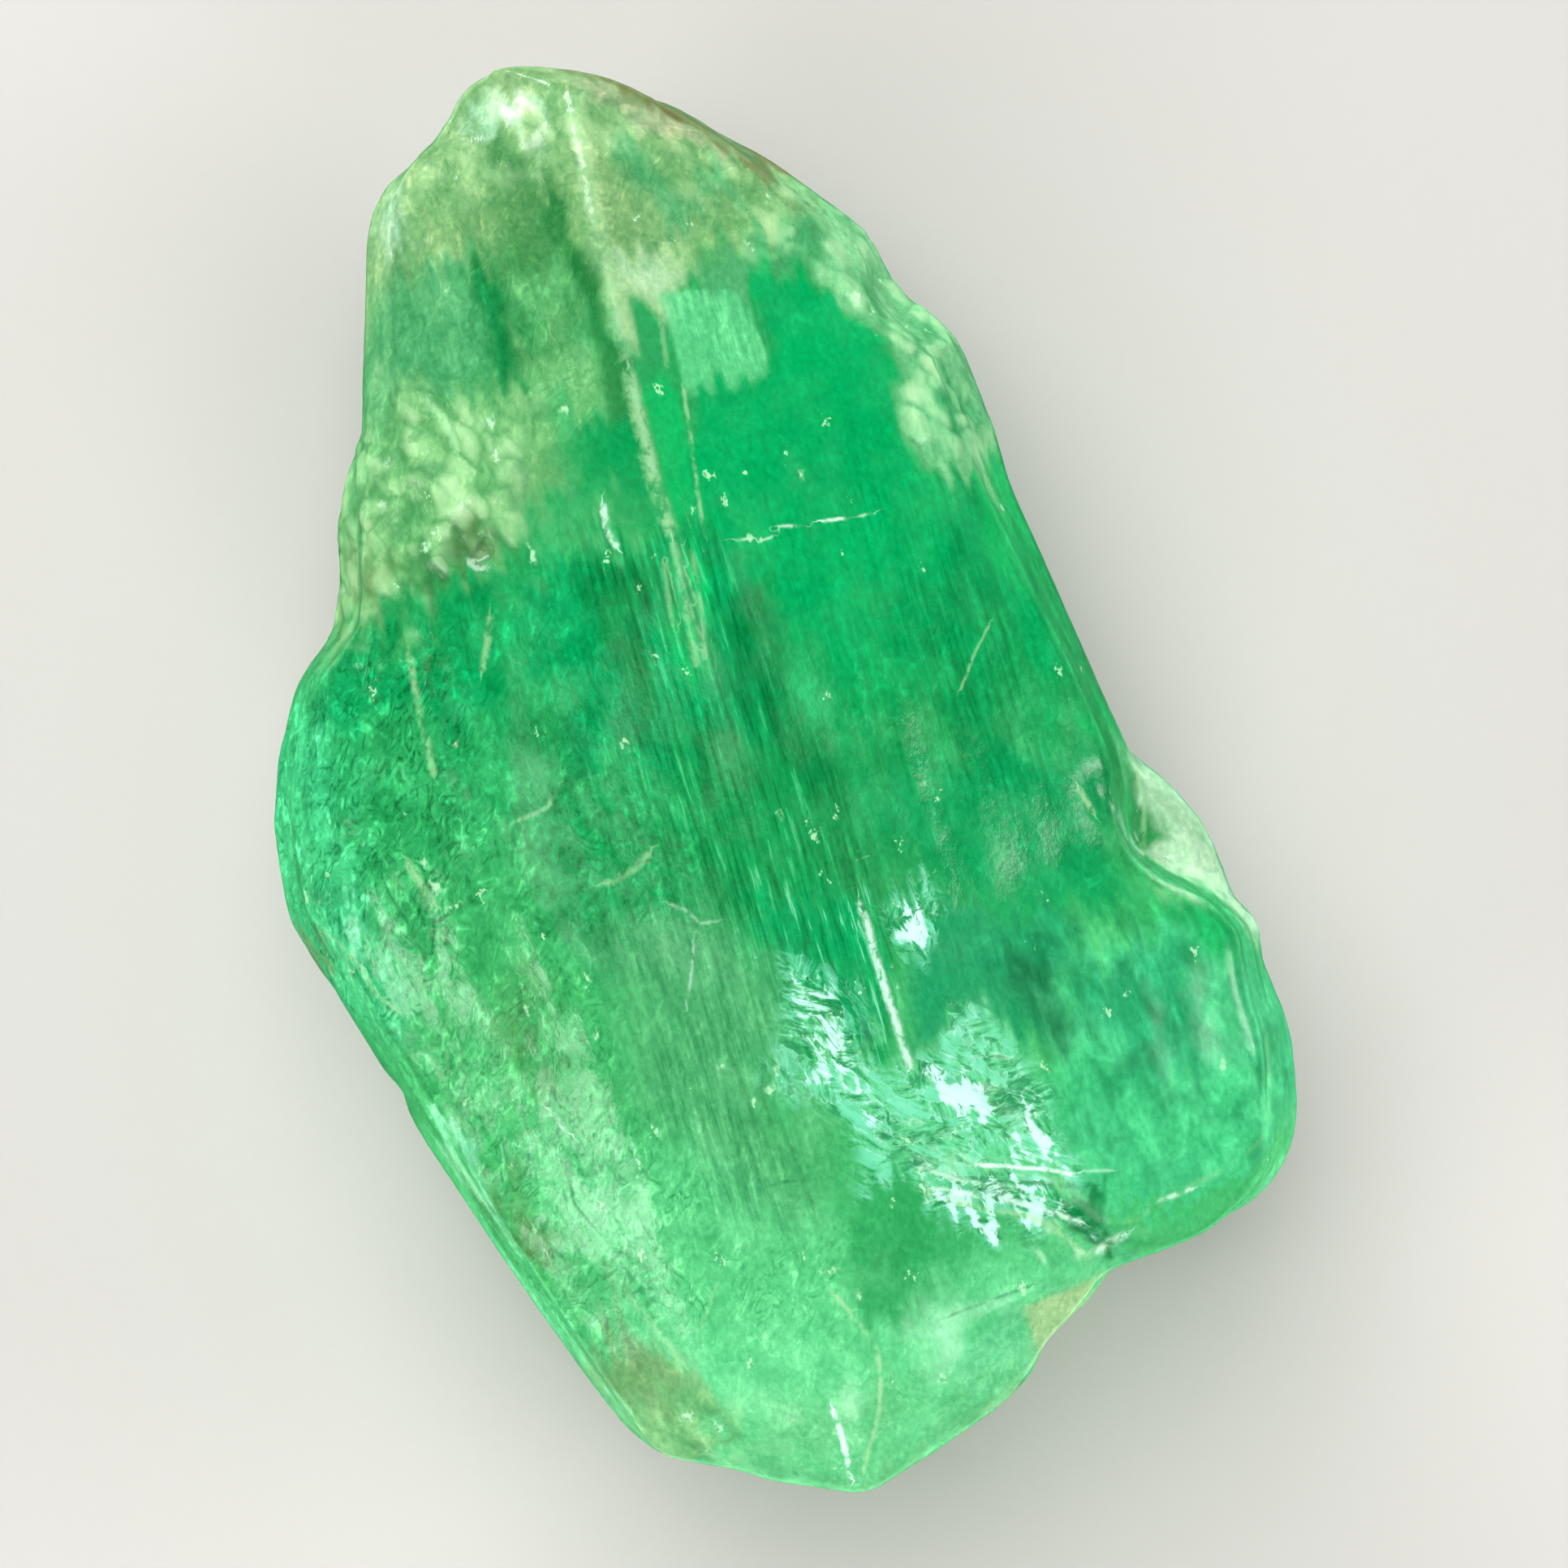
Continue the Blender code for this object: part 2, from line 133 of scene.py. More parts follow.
# Patches of tone in the stone, with a painted highlight on the tip and painted shade in the fold, seen from
# above, each over the last:
# tone, how much it covers, how far its edge fades, and its corners (x, y)
tonePatches = {
    "tipHaze": ("cream", 0.20, 0.35, (
        (-2.4, 9.0), (-1.0, 10.2), (0.3, 10.2), (1.4, 9.3), (0.9, 8.9), (-0.1, 9.1), (-1.9, 8.6),
    )),
    # painted highlight on the tip
    "tipHighlight": ("milkWhite", 0.75, 0.30, (
        (-1.1, 9.1), (-0.9, 9.6), (-0.3, 9.7), (0.0, 9.3), (-0.5, 9.3), (-0.9, 9.0),
    )),
    "tipShade": ("moss", 0.60, 0.60, ((-1.1, 9.0), (0.25, 9.0), (0.25, 6.6), (-0.9, 6.9))),
    "leftTip": ("sage", 0.85, 0.50, ((-3.2, 8.3), (-2.4, 9.0), (-1.2, 8.9), (-1.1, 7.7), (-2.9, 7.5))),
    "leftTipPale": ("milkWhite", 0.85, 0.50, ((-2.8, 8.5), (-2.1, 8.7), (-2.0, 8.0), (-2.7, 7.9))),
    "leftFlank": ("milk", 0.85, 0.60, ((-3.4, 7.5), (-1.5, 7.6), (-1.5, 6.1), (-3.6, 6.0))),
    "tipWedge": ("deep", 0.90, 0.50, ((-1.65, 7.4), (-0.9, 7.2), (-0.95, 6.3), (-1.35, 5.6), (-1.65, 6.4))),
    "leftMilk": ("sage", 0.45, 0.50, ((-1.1, 6.4), (-0.2, 6.5), (-0.05, 5.2), (-0.6, 4.9), (-1.1, 5.4))),
    "ridgeShade": ("moss", 0.80, 0.20, ((-0.2, 8.0), (0.22, 8.0), (0.15, 4.2), (-0.25, 4.4), (-0.1, 6.0))),
    "flankCloud": ("sage", 0.70, 0.80, (
        (-4.6, 6.2), (-2.6, 6.2), (-1.2, 5.6), (-0.9, 4.3), (-1.7, 3.9), (-2.6, 3.5), (-3.7, 3.0),
        (-5.0, 3.3),
    )),
    "cloudShade": ("moss", 0.75, 0.50, ((-3.4, 3.9), (-2.2, 4.0), (-1.9, 3.6), (-2.6, 3.3), (-3.3, 3.4))),
    "leftHeart": ("shade", 0.90, 0.30, ((-0.65, 4.0), (0.1, 3.3), (0.12, 4.9), (-0.45, 4.95))),
    "lowMilk": ("leaf", 0.60, 0.50, (
        (-2.4, 3.7), (-0.9, 3.95), (0.05, 3.9), (0.05, 3.1), (-1.0, 3.0), (-2.2, 3.2),
    )),
    "ridgeStrip": ("vivid", 0.90, 0.18, ((0.26, 5.0), (0.6, 5.2), (0.75, 4.9), (0.62, 3.2), (0.26, 3.2))),
    "milkyBlob": ("cream", 0.90, 0.50, ((0.30, 7.4), (1.3, 7.2), (1.5, 6.4), (0.8, 6.1), (0.3, 6.1))),
    "milkyHeart": ("milkWhite", 0.45, 0.60, ((0.40, 7.0), (1.0, 7.0), (1.1, 6.3), (0.5, 6.3))),
    "milkyStep": ("mint", 0.75, 0.09, (
        (0.85, 6.3), (1.95, 6.1), (1.98, 5.5), (2.05, 4.85), (1.5, 4.74), (0.95, 4.83), (0.84, 4.9),
        (0.88, 5.6),
    )),
    "tipRight": ("sage", 0.85, 0.50, (
        (0.5, 8.9), (1.6, 8.7), (3.0, 7.8), (3.3, 6.9), (2.0, 6.9), (0.5, 7.2),
    )),
    "tipRightGreen": ("milk", 0.80, 0.35, ((0.95, 8.5), (1.35, 8.3), (1.5, 7.3), (1.0, 7.3))),
    "tipRightSpot": ("milk", 0.75, 0.30, ((1.6, 7.8), (2.1, 7.8), (2.1, 7.2), (1.6, 7.3))),
    "ridgeBand": ("cream", 0.62, 0.14, (
        (0.32, 9.3), (0.66, 9.3), (0.54, 8.2), (0.44, 7.0), (0.38, 5.8), (0.22, 5.8), (0.26, 7.2),
        (0.30, 8.2),
    )),
    "tipBand": ("wheat", 0.80, 0.30, (
        (0.45, 9.6), (1.0, 9.4), (2.4, 8.3), (2.2, 8.0), (1.4, 8.6), (0.5, 9.1),
    )),
    "rightTipGreen": ("milk", 0.85, 0.45, ((1.4, 6.5), (2.3, 6.8), (3.2, 6.9), (3.3, 6.0), (1.5, 5.9))),
    "heart": ("heart", 0.97, 0.28, (
        (1.9, 4.8), (2.0, 6.0), (2.35, 6.4), (2.6, 6.7), (2.9, 6.2), (3.1, 5.7), (3.5, 5.1), (3.65, 4.0),
        (3.8, 3.0), (3.4, 2.2), (1.0, 2.2), (0.7, 3.2), (0.84, 4.74),
    )),
    "heartDark": ("emerald", 0.60, 0.50, ((1.8, 4.0), (2.8, 3.8), (2.7, 3.3), (1.9, 3.3))),
    "milkyShoulder": ("haze", 0.90, 0.30, (
        (3.2, 7.3), (4.4, 7.0), (5.2, 4.2), (4.9, 3.1), (4.2, 3.0), (3.95, 3.1), (3.62, 3.9), (3.62, 4.7),
        (3.15, 5.7), (3.3, 6.3),
    )),
    "shoulderGreen": ("emerald", 0.80, 0.30, (
        (4.15, 4.9), (4.45, 4.7), (4.75, 3.6), (4.3, 3.5), (4.1, 4.2),
    )),
    "rightStrip": ("vivid", 0.95, 0.35, ((4.2, 3.1), (4.9, 3.1), (5.2, 1.0), (4.7, 0.6), (4.3, 2.0))),
    "leftShade": ("shade", 0.85, 0.50, (
        (-4.7, 2.1), (-3.9, 3.0), (-3.1, 3.4), (-2.1, 3.3), (-2.0, 2.5), (-2.6, 1.8), (-3.3, 2.1),
        (-4.2, 1.8),
    )),
    "middle": ("emerald", 0.90, 0.60, ((-2.0, 3.2), (0.5, 3.2), (1.0, 2.2), (1.0, 0.2), (-1.6, 0.4))),
    "middleLeft": ("leaf", 0.60, 0.60, ((-3.9, 1.7), (-2.1, 1.7), (-1.6, 0.5), (-3.6, 0.3))),
    "middleStreak": ("deep", 0.95, 0.30, ((-1.05, 3.0), (-0.40, 3.0), (-0.42, 1.2), (-0.8, 0.8))),
    "ridgeTail": ("vivid", 0.60, 0.25, ((-0.15, 2.9), (0.45, 3.1), (0.3, 1.4), (-0.05, 1.2))),
    "heartLow": ("heart", 0.80, 0.60, ((1.0, 2.4), (3.6, 2.4), (3.4, 0.4), (1.4, -0.4), (0.9, 0.6))),
    "centreShade": ("deep", 0.85, 0.45, ((0.4, 2.0), (1.1, 2.2), (1.4, -1.4), (1.1, -2.0), (0.7, 0.4))),
    "rightShade": ("shade", 0.85, 0.55, (
        (2.7, 1.5), (3.9, 2.3), (4.2, 1.0), (3.8, -1.2), (2.9, -0.9), (2.9, 0.4),
    )),
    "rightLight": ("heart", 0.85, 0.50, ((4.1, 1.6), (4.9, 1.2), (5.1, -0.1), (4.2, -0.6))),
    "bulge": ("spring", 0.60, 0.50, (
        (-6.8, 2.0), (-5.3, 3.1), (-4.8, 1.8), (-4.9, 0.2), (-5.0, -1.6), (-6.6, -1.6),
    )),
    "bulgeInner": ("leaf", 0.75, 0.50, ((-4.9, 1.8), (-3.7, 1.9), (-3.4, 0.6), (-4.4, -0.2), (-5.0, 0.0))),
    "leftMint": ("spring", 0.85, 0.50, (
        (-6.2, -0.3), (-5.3, -0.2), (-4.9, -1.5), (-5.1, -2.2), (-6.0, -1.9),
    )),
    "leftLow": ("meadow", 0.80, 1.40, (
        (-5.0, -0.6), (-3.0, -0.8), (-2.2, -2.4), (-2.6, -4.4), (-5.2, -3.6),
    )),
    "centreLeft": ("shade", 0.70, 0.60, (
        (-2.8, 0.3), (-0.4, 0.2), (-0.2, -2.4), (-1.0, -3.0), (-2.6, -2.2),
    )),
    "centreMid": ("shade", 0.70, 0.50, ((-0.5, 0.6), (0.9, 0.6), (1.0, -1.8), (-0.3, -1.8))),
    "centreDull": ("milk", 0.85, 1.00, (
        (-2.3, -1.8), (-0.4, -2.0), (-0.2, -4.2), (-0.5, -6.0), (-1.8, -5.9), (-2.2, -4.0),
    )),
    "centreDark": ("emerald", 0.90, 0.30, (
        (-0.1, -1.7), (1.1, -1.9), (1.15, -4.1), (0.5, -4.0), (0.2, -3.2), (-0.1, -2.7),
    )),
    "rightMid": ("emerald", 0.80, 0.70, ((1.3, -0.6), (4.6, -0.9), (4.6, -3.2), (1.9, -2.4))),
    "rightEdge": ("vivid", 0.90, 0.25, ((4.7, -0.5), (5.35, -0.5), (5.35, -1.9), (5.0, -1.9))),
    "rearLobe": ("milkWhite", 0.70, 0.12, (
        (5.38, -0.6), (6.6, -1.6), (6.6, -3.0), (6.1, -3.0), (5.35, -2.4), (5.42, -1.4),
    )),
    "rearPale": ("milkWhite", 0.50, 0.25, ((5.45, -1.3), (5.8, -1.7), (5.75, -2.3), (5.45, -2.2))),
    "creamPatch": ("milkWhite", 1.0, 0.15, (
        (5.15, -2.65), (5.7, -2.45), (6.2, -3.0), (6.7, -4.1), (6.25, -4.1), (5.7, -3.6), (5.2, -3.1),
    )),
    "lobe": ("spring", 0.85, 0.80, (
        (2.9, -4.2), (5.2, -3.3), (6.8, -4.4), (6.9, -7.0), (3.2, -7.8), (3.0, -6.4),
    )),
    "lobeDeep": ("sea", 0.85, 0.50, (
        (1.4, -3.1), (2.2, -2.6), (3.6, -2.9), (3.9, -3.7), (2.8, -4.4), (2.0, -4.2), (1.4, -4.0),
    )),
    "lobeDark": ("seaShade", 0.65, 0.60, ((2.7, -3.6), (3.5, -3.6), (3.6, -4.4), (2.8, -4.6))),
    "lobeMid": ("sea", 0.75, 0.60, ((3.9, -3.9), (4.9, -4.0), (4.9, -5.4), (3.9, -5.6))),
    "lobeGreen": ("vivid", 0.80, 0.45, ((4.9, -3.1), (5.6, -3.5), (5.9, -4.3), (5.3, -4.2))),
    "lobeEdge": ("spring", 0.75, 0.55, ((5.7, -4.6), (6.8, -4.4), (6.8, -6.6), (5.9, -6.7), (5.6, -5.6))),
    "lobeFoot": ("meadow", 0.85, 0.30, (
        (3.4, -7.25), (4.8, -7.1), (5.6, -6.9), (6.4, -7.4), (5.0, -8.2), (3.4, -8.2),
    )),
    "centreLow": ("mint", 0.50, 1.40, (
        (-3.9, -4.0), (-2.0, -4.4), (-0.4, -6.2), (-0.2, -9.2), (-3.6, -8.8),
    )),
    "flareGround": ("mint", 0.90, 0.45, (
        (0.1, -4.1), (1.5, -4.1), (2.4, -4.4), (2.9, -5.6), (2.9, -6.3), (1.2, -6.0), (0.1, -5.6),
    )),
    "underFlare": ("leaf", 0.75, 0.50, (
        (-0.2, -5.7), (0.6, -5.8), (1.1, -6.2), (1.9, -6.8), (1.2, -7.6), (-0.2, -7.3),
    )),
    # painted shade in the crease between the lobes
    "foldShade": ("deep", 0.95, 0.20, (
        (2.6, -6.55), (3.5, -6.7), (3.3, -7.2), (2.95, -7.45), (2.75, -7.1),
    )),
    "lowRight": ("mint", 0.75, 0.60, ((-0.1, -7.4), (2.3, -7.2), (2.6, -7.9), (1.8, -9.2), (0.0, -9.6))),
    "lowRightPale": ("paleMint", 0.40, 0.40, ((0.5, -7.95), (1.75, -7.9), (1.75, -8.7), (0.6, -9.0))),
    "footWedge": ("cream", 1.0, 0.12, ((1.82, -8.0), (3.4, -7.9), (2.8, -8.7), (1.85, -9.4))),
    "footPale": ("mint", 0.80, 0.70, ((-3.4, -8.9), (0.2, -9.0), (1.0, -10.2), (-3.5, -10.2))),
    "footSage": ("sage", 0.75, 0.50, ((-4.2, -7.4), (-3.4, -6.7), (-2.3, -8.7), (-3.6, -9.1))),
    "edgeLowLeft": ("mint", 0.85, 0.30, ((-5.6, -5.2), (-5.0, -5.2), (-4.0, -7.9), (-4.8, -7.9))),
    "mintStreak": ("paleMint", 1.0, 0.25, ((-5.3, -3.7), (-5.0, -3.7), (-4.6, -4.9), (-4.75, -5.1))),
}

# Where each kind of texture lies, seen from above: how strong, how far its edge fades, and its corners
textureFields = {
    "fibres": (  # fine lines of growth, lengthwise
        (1.0, 0.8, (
            (-0.9, 3.6), (0.6, 3.2), (1.1, 1.0), (1.4, -1.0), (1.2, -4.2), (-0.2, -4.2), (-0.6, -2.2),
            (-1.4, -0.4),
        )),
        (0.65, 0.8, ((-1.6, -0.6), (-0.2, -1.4), (-0.2, -4.4), (-0.9, -6.0), (-2.0, -5.8), (-2.2, -2.2))),
        (0.6, 0.6, ((2.7, 1.9), (4.0, 2.4), (4.3, 0.4), (4.0, -1.8), (2.7, -1.2))),
        (0.25, 0.6, ((1.6, -2.8), (4.6, -2.9), (4.8, -5.2), (3.4, -5.4), (1.8, -4.2))),
        (0.35, 1.2, ((-3.4, 3.2), (4.8, 3.2), (4.9, -1.5), (1.4, -1.8), (-3.2, -1.5))),
        (0.5, 0.3, ((0.85, 6.1), (2.0, 6.0), (2.0, 4.8), (0.9, 4.8))),
        (0.2, 0.8, ((-3.3, 7.6), (0.1, 7.6), (0.1, 5.0), (-1.0, 4.8))),
        (0.3, 0.4, ((3.5, 5.0), (4.9, 4.6), (4.9, 3.0), (3.8, 3.0))),
    ),
    "etched": (  # fine curls of natural etching
        (1.0, 0.8, ((-6.8, 3.0), (-3.2, 2.9), (-3.0, 0.2), (-4.4, -2.0), (-6.4, -2.2))),
        (0.7, 0.8, ((-3.3, 1.2), (-1.4, 1.0), (-0.8, -2.0), (-3.4, -1.8))),
        (0.75, 0.9, ((-5.6, -2.0), (-2.6, -1.6), (-1.9, -5.6), (-2.4, -7.0), (-4.6, -7.0))),
        (0.6, 0.5, ((-1.9, -5.9), (-0.2, -6.3), (-0.5, -7.6), (-2.0, -7.6))),
    ),
    "cloudy": (  # milky, lumpy patches
        (1.0, 0.8, (
            (-4.7, 6.1), (-2.8, 6.2), (-1.3, 5.5), (-1.4, 4.4), (-2.0, 3.6), (-3.7, 2.9), (-5.0, 3.3),
        )),
        (0.2, 0.6, ((-2.2, 4.2), (-0.2, 4.0), (-0.3, 3.0), (-2.0, 3.0))),
        (0.5, 0.6, ((-3.0, 8.9), (-1.0, 9.9), (1.0, 9.6), (2.8, 7.9), (2.0, 7.4), (0.5, 8.6), (-2.0, 8.2))),
        (0.7, 0.5, ((1.6, 8.2), (3.0, 7.7), (3.8, 6.3), (2.4, 6.3))),
        (1.0, 0.4, ((3.3, 7.0), (4.4, 6.6), (4.9, 3.6), (3.7, 3.1), (3.6, 4.8), (3.2, 5.8))),
        (0.7, 0.3, ((5.2, -2.6), (6.4, -3.0), (6.6, -4.1), (5.3, -3.1))),
        (0.6, 0.5, ((-3.9, -7.9), (-2.2, -8.1), (-1.8, -9.2), (-3.4, -9.2))),
    ),
    "flare": (  # mint splinters of a fracture inside, their white partly a painted reflection
        (0.9, 0.4, (
            (-0.3, -2.4), (0.1, -2.6), (0.6, -3.4), (0.7, -3.9), (0.2, -4.2), (-0.3, -3.9), (-0.4, -3.2),
        )),
        (1.0, 0.3, ((1.2, -2.2), (1.8, -2.2), (2.0, -2.8), (1.8, -3.15), (1.3, -2.9))),
        (1.0, 0.4, (
            (-0.1, -4.1), (0.6, -4.0), (1.1, -4.2), (2.1, -4.2), (2.7, -5.0), (3.0, -5.4), (3.1, -6.3),
            (2.3, -6.2), (1.6, -5.9), (1.0, -6.2), (0.6, -5.7), (0.0, -5.9), (0.0, -5.2),
        )),
        (1.0, 0.25, ((0.9, -5.9), (1.9, -6.1), (2.9, -6.7), (3.05, -7.2), (2.3, -6.95), (1.3, -6.5))),
    ),
    "veil": (  # its white hearts
        (0.75, 0.3, ((-0.05, -3.4), (0.30, -3.5), (0.60, -4.1), (0.30, -4.4), (-0.05, -4.0))),
        (0.75, 0.5, ((-0.2, -2.5), (0.1, -2.8), (0.45, -3.4), (0.55, -3.9), (0.1, -3.9), (-0.25, -3.4))),
        (1.0, 0.3, ((1.3, -2.3), (1.65, -2.3), (1.85, -2.75), (1.7, -3.05), (1.4, -2.8))),
        (0.6, 0.4, ((0.1, -4.2), (0.7, -4.3), (0.9, -5.0), (0.5, -5.5), (0.3, -4.9))),
        (1.0, 0.3, ((1.45, -4.5), (1.8, -4.5), (2.0, -5.1), (2.25, -5.6), (1.9, -5.7), (1.6, -5.2))),
        (1.0, 0.3, ((2.35, -5.25), (2.75, -5.35), (2.9, -6.15), (2.65, -6.15))),
        (0.9, 0.25, ((1.0, -6.0), (1.8, -6.2), (2.8, -6.8), (2.95, -7.15), (2.3, -6.85), (1.3, -6.4))),
        (0.8, 0.3, ((1.9, -5.9), (2.4, -6.0), (2.9, -6.4), (2.3, -6.3))),
    ),
    "needles": (  # bright hair-fine lines over the dark middle
        (1.0, 0.3, ((0.1, -1.6), (1.15, -1.8), (1.15, -4.2), (0.4, -4.1), (0.2, -3.0))),
        (0.25, 0.8, ((-0.6, 2.8), (0.8, 2.8), (1.0, -1.6), (-1.2, -1.6))),
    ),
    "sparkle": (  # tiny bright inclusions, and painted glints among them
        (0.55, 0.5, ((-1.9, 3.8), (1.0, 3.6), (2.6, 3.2), (2.8, 2.6), (0.4, 2.6), (-1.8, 3.0))),
        (0.20, 0.6, ((-4.6, 6.0), (-1.2, 5.6), (-1.0, 4.2), (-4.4, 3.4))),
        (0.50, 0.5, ((3.2, 7.2), (4.2, 6.8), (4.8, 4.4), (3.6, 4.6), (3.2, 5.8))),
        (0.40, 0.6, ((1.8, -0.4), (3.2, -0.2), (3.2, -1.6), (1.2, -2.2))),
        (0.45, 0.6, ((-0.8, -3.6), (1.2, -3.8), (3.2, -5.2), (3.2, -6.8), (0.2, -6.2))),
        (0.40, 0.6, ((-6.0, 0.2), (-3.8, 0.2), (-3.8, -1.4), (-6.0, -1.6))),
        (0.45, 0.4, ((-3.4, -7.8), (-2.0, -8.0), (-2.0, -9.0), (-3.2, -9.0))),
        (0.12, 1.0, ((-6.8, 9.0), (6.8, 9.0), (6.8, -9.8), (-6.8, -9.8))),
    ),
    "weathered": (  # brown iron stain in the worn rim and pits
        (0.9, 0.3, ((0.5, 10.2), (0.9, 9.45), (2.0, 8.55), (3.0, 7.65), (3.5, 7.9), (2.0, 9.8))),
        (0.5, 0.5, ((-4.6, -4.7), (-4.0, -4.65), (-4.0, -5.4), (-4.5, -5.5))),
        (0.35, 0.6, ((-4.4, -7.0), (-3.6, -6.4), (-3.0, -7.4), (-3.6, -8.0))),
        (0.9, 0.2, ((-6.4, -0.5), (-6.1, -0.6), (-6.0, -1.1), (-6.3, -1.1))),
        (0.25, 0.5, ((-2.7, 4.1), (-2.1, 4.2), (-2.0, 3.6), (-2.6, 3.4))),
        (0.30, 0.6, ((-4.6, 4.6), (-3.9, 4.8), (-3.6, 3.6), (-4.8, 3.3))),
        (0.25, 0.6, ((-3.8, -2.0), (-3.2, -2.0), (-3.2, -3.6), (-3.8, -3.4))),
    ),
    "glassy": (  # smooth, unetched ground
        (1.0, 0.8, ((2.6, -3.0), (4.8, -2.6), (6.9, -4.4), (6.9, -7.9), (3.2, -8.2), (2.9, -5.0))),
        (1.0, 0.8, ((0.4, 5.4), (3.4, 6.4), (4.6, 2.4), (1.0, 1.4))),
        (0.8, 0.6, ((-0.2, -6.2), (2.6, -7.0), (2.8, -9.4), (-0.6, -10.2))),
    ),
    "reflectionStreaks": (  # painted reflections: soft upright streaks of light, pale and dark, deep in the glassy side lobe
        (1.0, 0.8, ((2.6, -3.0), (4.8, -2.8), (6.4, -4.4), (6.2, -6.8), (3.2, -6.9), (3.0, -5.0))),
    ),
    "mottle": (  # small clouds and shadows
        (1.0, 1.2, ((-6.4, 3.0), (-0.8, 3.4), (-0.4, -2.0), (-3.0, -2.4), (-6.4, -1.0))),
        (0.55, 1.2, (
            (-6.4, 0.0), (-0.4, 0.0), (-0.2, -6.0), (2.4, -7.0), (2.4, -9.4), (-1.0, -10.2), (-4.4, -9.0),
        )),
        (0.8, 0.8, (
            (-3.6, 9.0), (-0.6, 10.2), (3.4, 8.0), (3.4, 6.6), (0.3, 6.6), (-0.3, 4.8), (-4.6, 3.4),
        )),
        (0.6, 0.8, ((1.1, 1.0), (5.2, 1.4), (5.2, -3.0), (1.6, -2.4))),
        (0.35, 0.8, ((0.8, 6.4), (3.4, 6.4), (4.2, 2.0), (0.8, 1.6))),
    ),
}

surfaceFields = ("everywhere", "rim", "fleck")

# Single marks inside the crystal, and a few painted glints, seen from above: half width, strength, and the
# path (x, y)
paleMarks = (
    (0.100, 0.35, (
        (0.42, 9.15), (0.37, 8.6), (0.34, 8.0), (0.28, 7.2), (0.25, 6.6), (0.22, 6.0), (0.19, 5.2),
    )),
    (0.110, 0.65, ((0.19, 5.3), (0.15, 4.4), (0.13, 3.9), (0.16, 3.2))),
    (0.035, 0.60, ((0.83, 4.95), (0.74, 4.3), (0.64, 3.6), (0.56, 3.0))),
    (0.045, 0.35, ((0.85, 6.3), (0.70, 5.3))),
    (0.060, 0.40, ((0.14, 3.0), (0.08, 2.2), (0.0, 1.4))),
    (0.040, 0.35, ((-0.05, 2.8), (-0.16, 2.0))),
    (0.040, 0.40, ((0.36, 2.9), (0.27, 2.2), (0.15, 1.5))),
    (0.040, 0.85, (
        (-0.52, -7.1), (-0.40, -7.4), (-0.28, -7.65), (-0.21, -7.95), (-0.28, -8.35), (-0.42, -8.8),
        (-0.62, -9.15), (-0.85, -9.55),
    )),
    (0.055, 0.70, (
        (3.3, -7.45), (2.8, -7.6), (2.68, -7.35), (2.45, -7.0), (2.2, -6.8), (1.6, -6.5), (1.0, -6.1),
    )),
    (0.055, 0.50, ((-3.65, 2.7), (-3.72, 1.8), (-3.74, 1.0))),
    (0.055, 0.50, ((-2.75, 2.15), (-2.6, 2.45), (-2.47, 2.8))),
    (0.050, 0.50, ((-3.15, -6.5), (-2.95, -6.95), (-2.75, -7.45))),
    (0.040, 0.30, ((-2.0, -6.5), (-2.35, -7.0))),
    (0.050, 0.80, ((5.33, -0.75), (5.38, -1.4), (5.3, -2.1), (5.12, -2.65))),
    (0.060, 0.25, ((5.95, -5.4), (5.85, -6.2), (5.55, -6.75), (4.8, -7.0), (4.1, -7.12), (3.4, -7.3))),
    (0.030, 0.35, ((1.75, -8.0), (1.76, -8.75))),
    (0.130, 0.80, ((-5.15, -3.9), (-4.75, -4.8))),
    (0.040, 0.60, ((-5.5, -1.0), (-5.35, -1.6), (-5.1, -1.9))),
    (0.040, 0.60, ((-5.9, -0.5), (-5.6, -0.9), (-5.65, -1.3))),
    (0.070, 0.60, ((-4.4, -0.05), (-4.3, -0.4), (-4.2, -0.65))),
    (0.040, 0.45, ((-2.8, 0.1), (-2.4, 0.15), (-2.2, 0.35))),
    (0.060, 0.45, ((-1.9, -1.0), (-1.55, -0.95), (-1.3, -0.8))),
    (0.025, 0.50, ((3.25, 0.15), (3.6, 0.6), (3.85, 0.85))),
    (0.050, 0.80, ((4.42, -1.55), (4.52, -1.9))),
    (0.050, 0.40, ((0.9, -9.35), (1.5, -9.0), (1.8, -8.8))),
    (0.070, 0.50, ((-2.6, 6.0), (-2.35, 5.5), (-2.3, 5.1))),
)
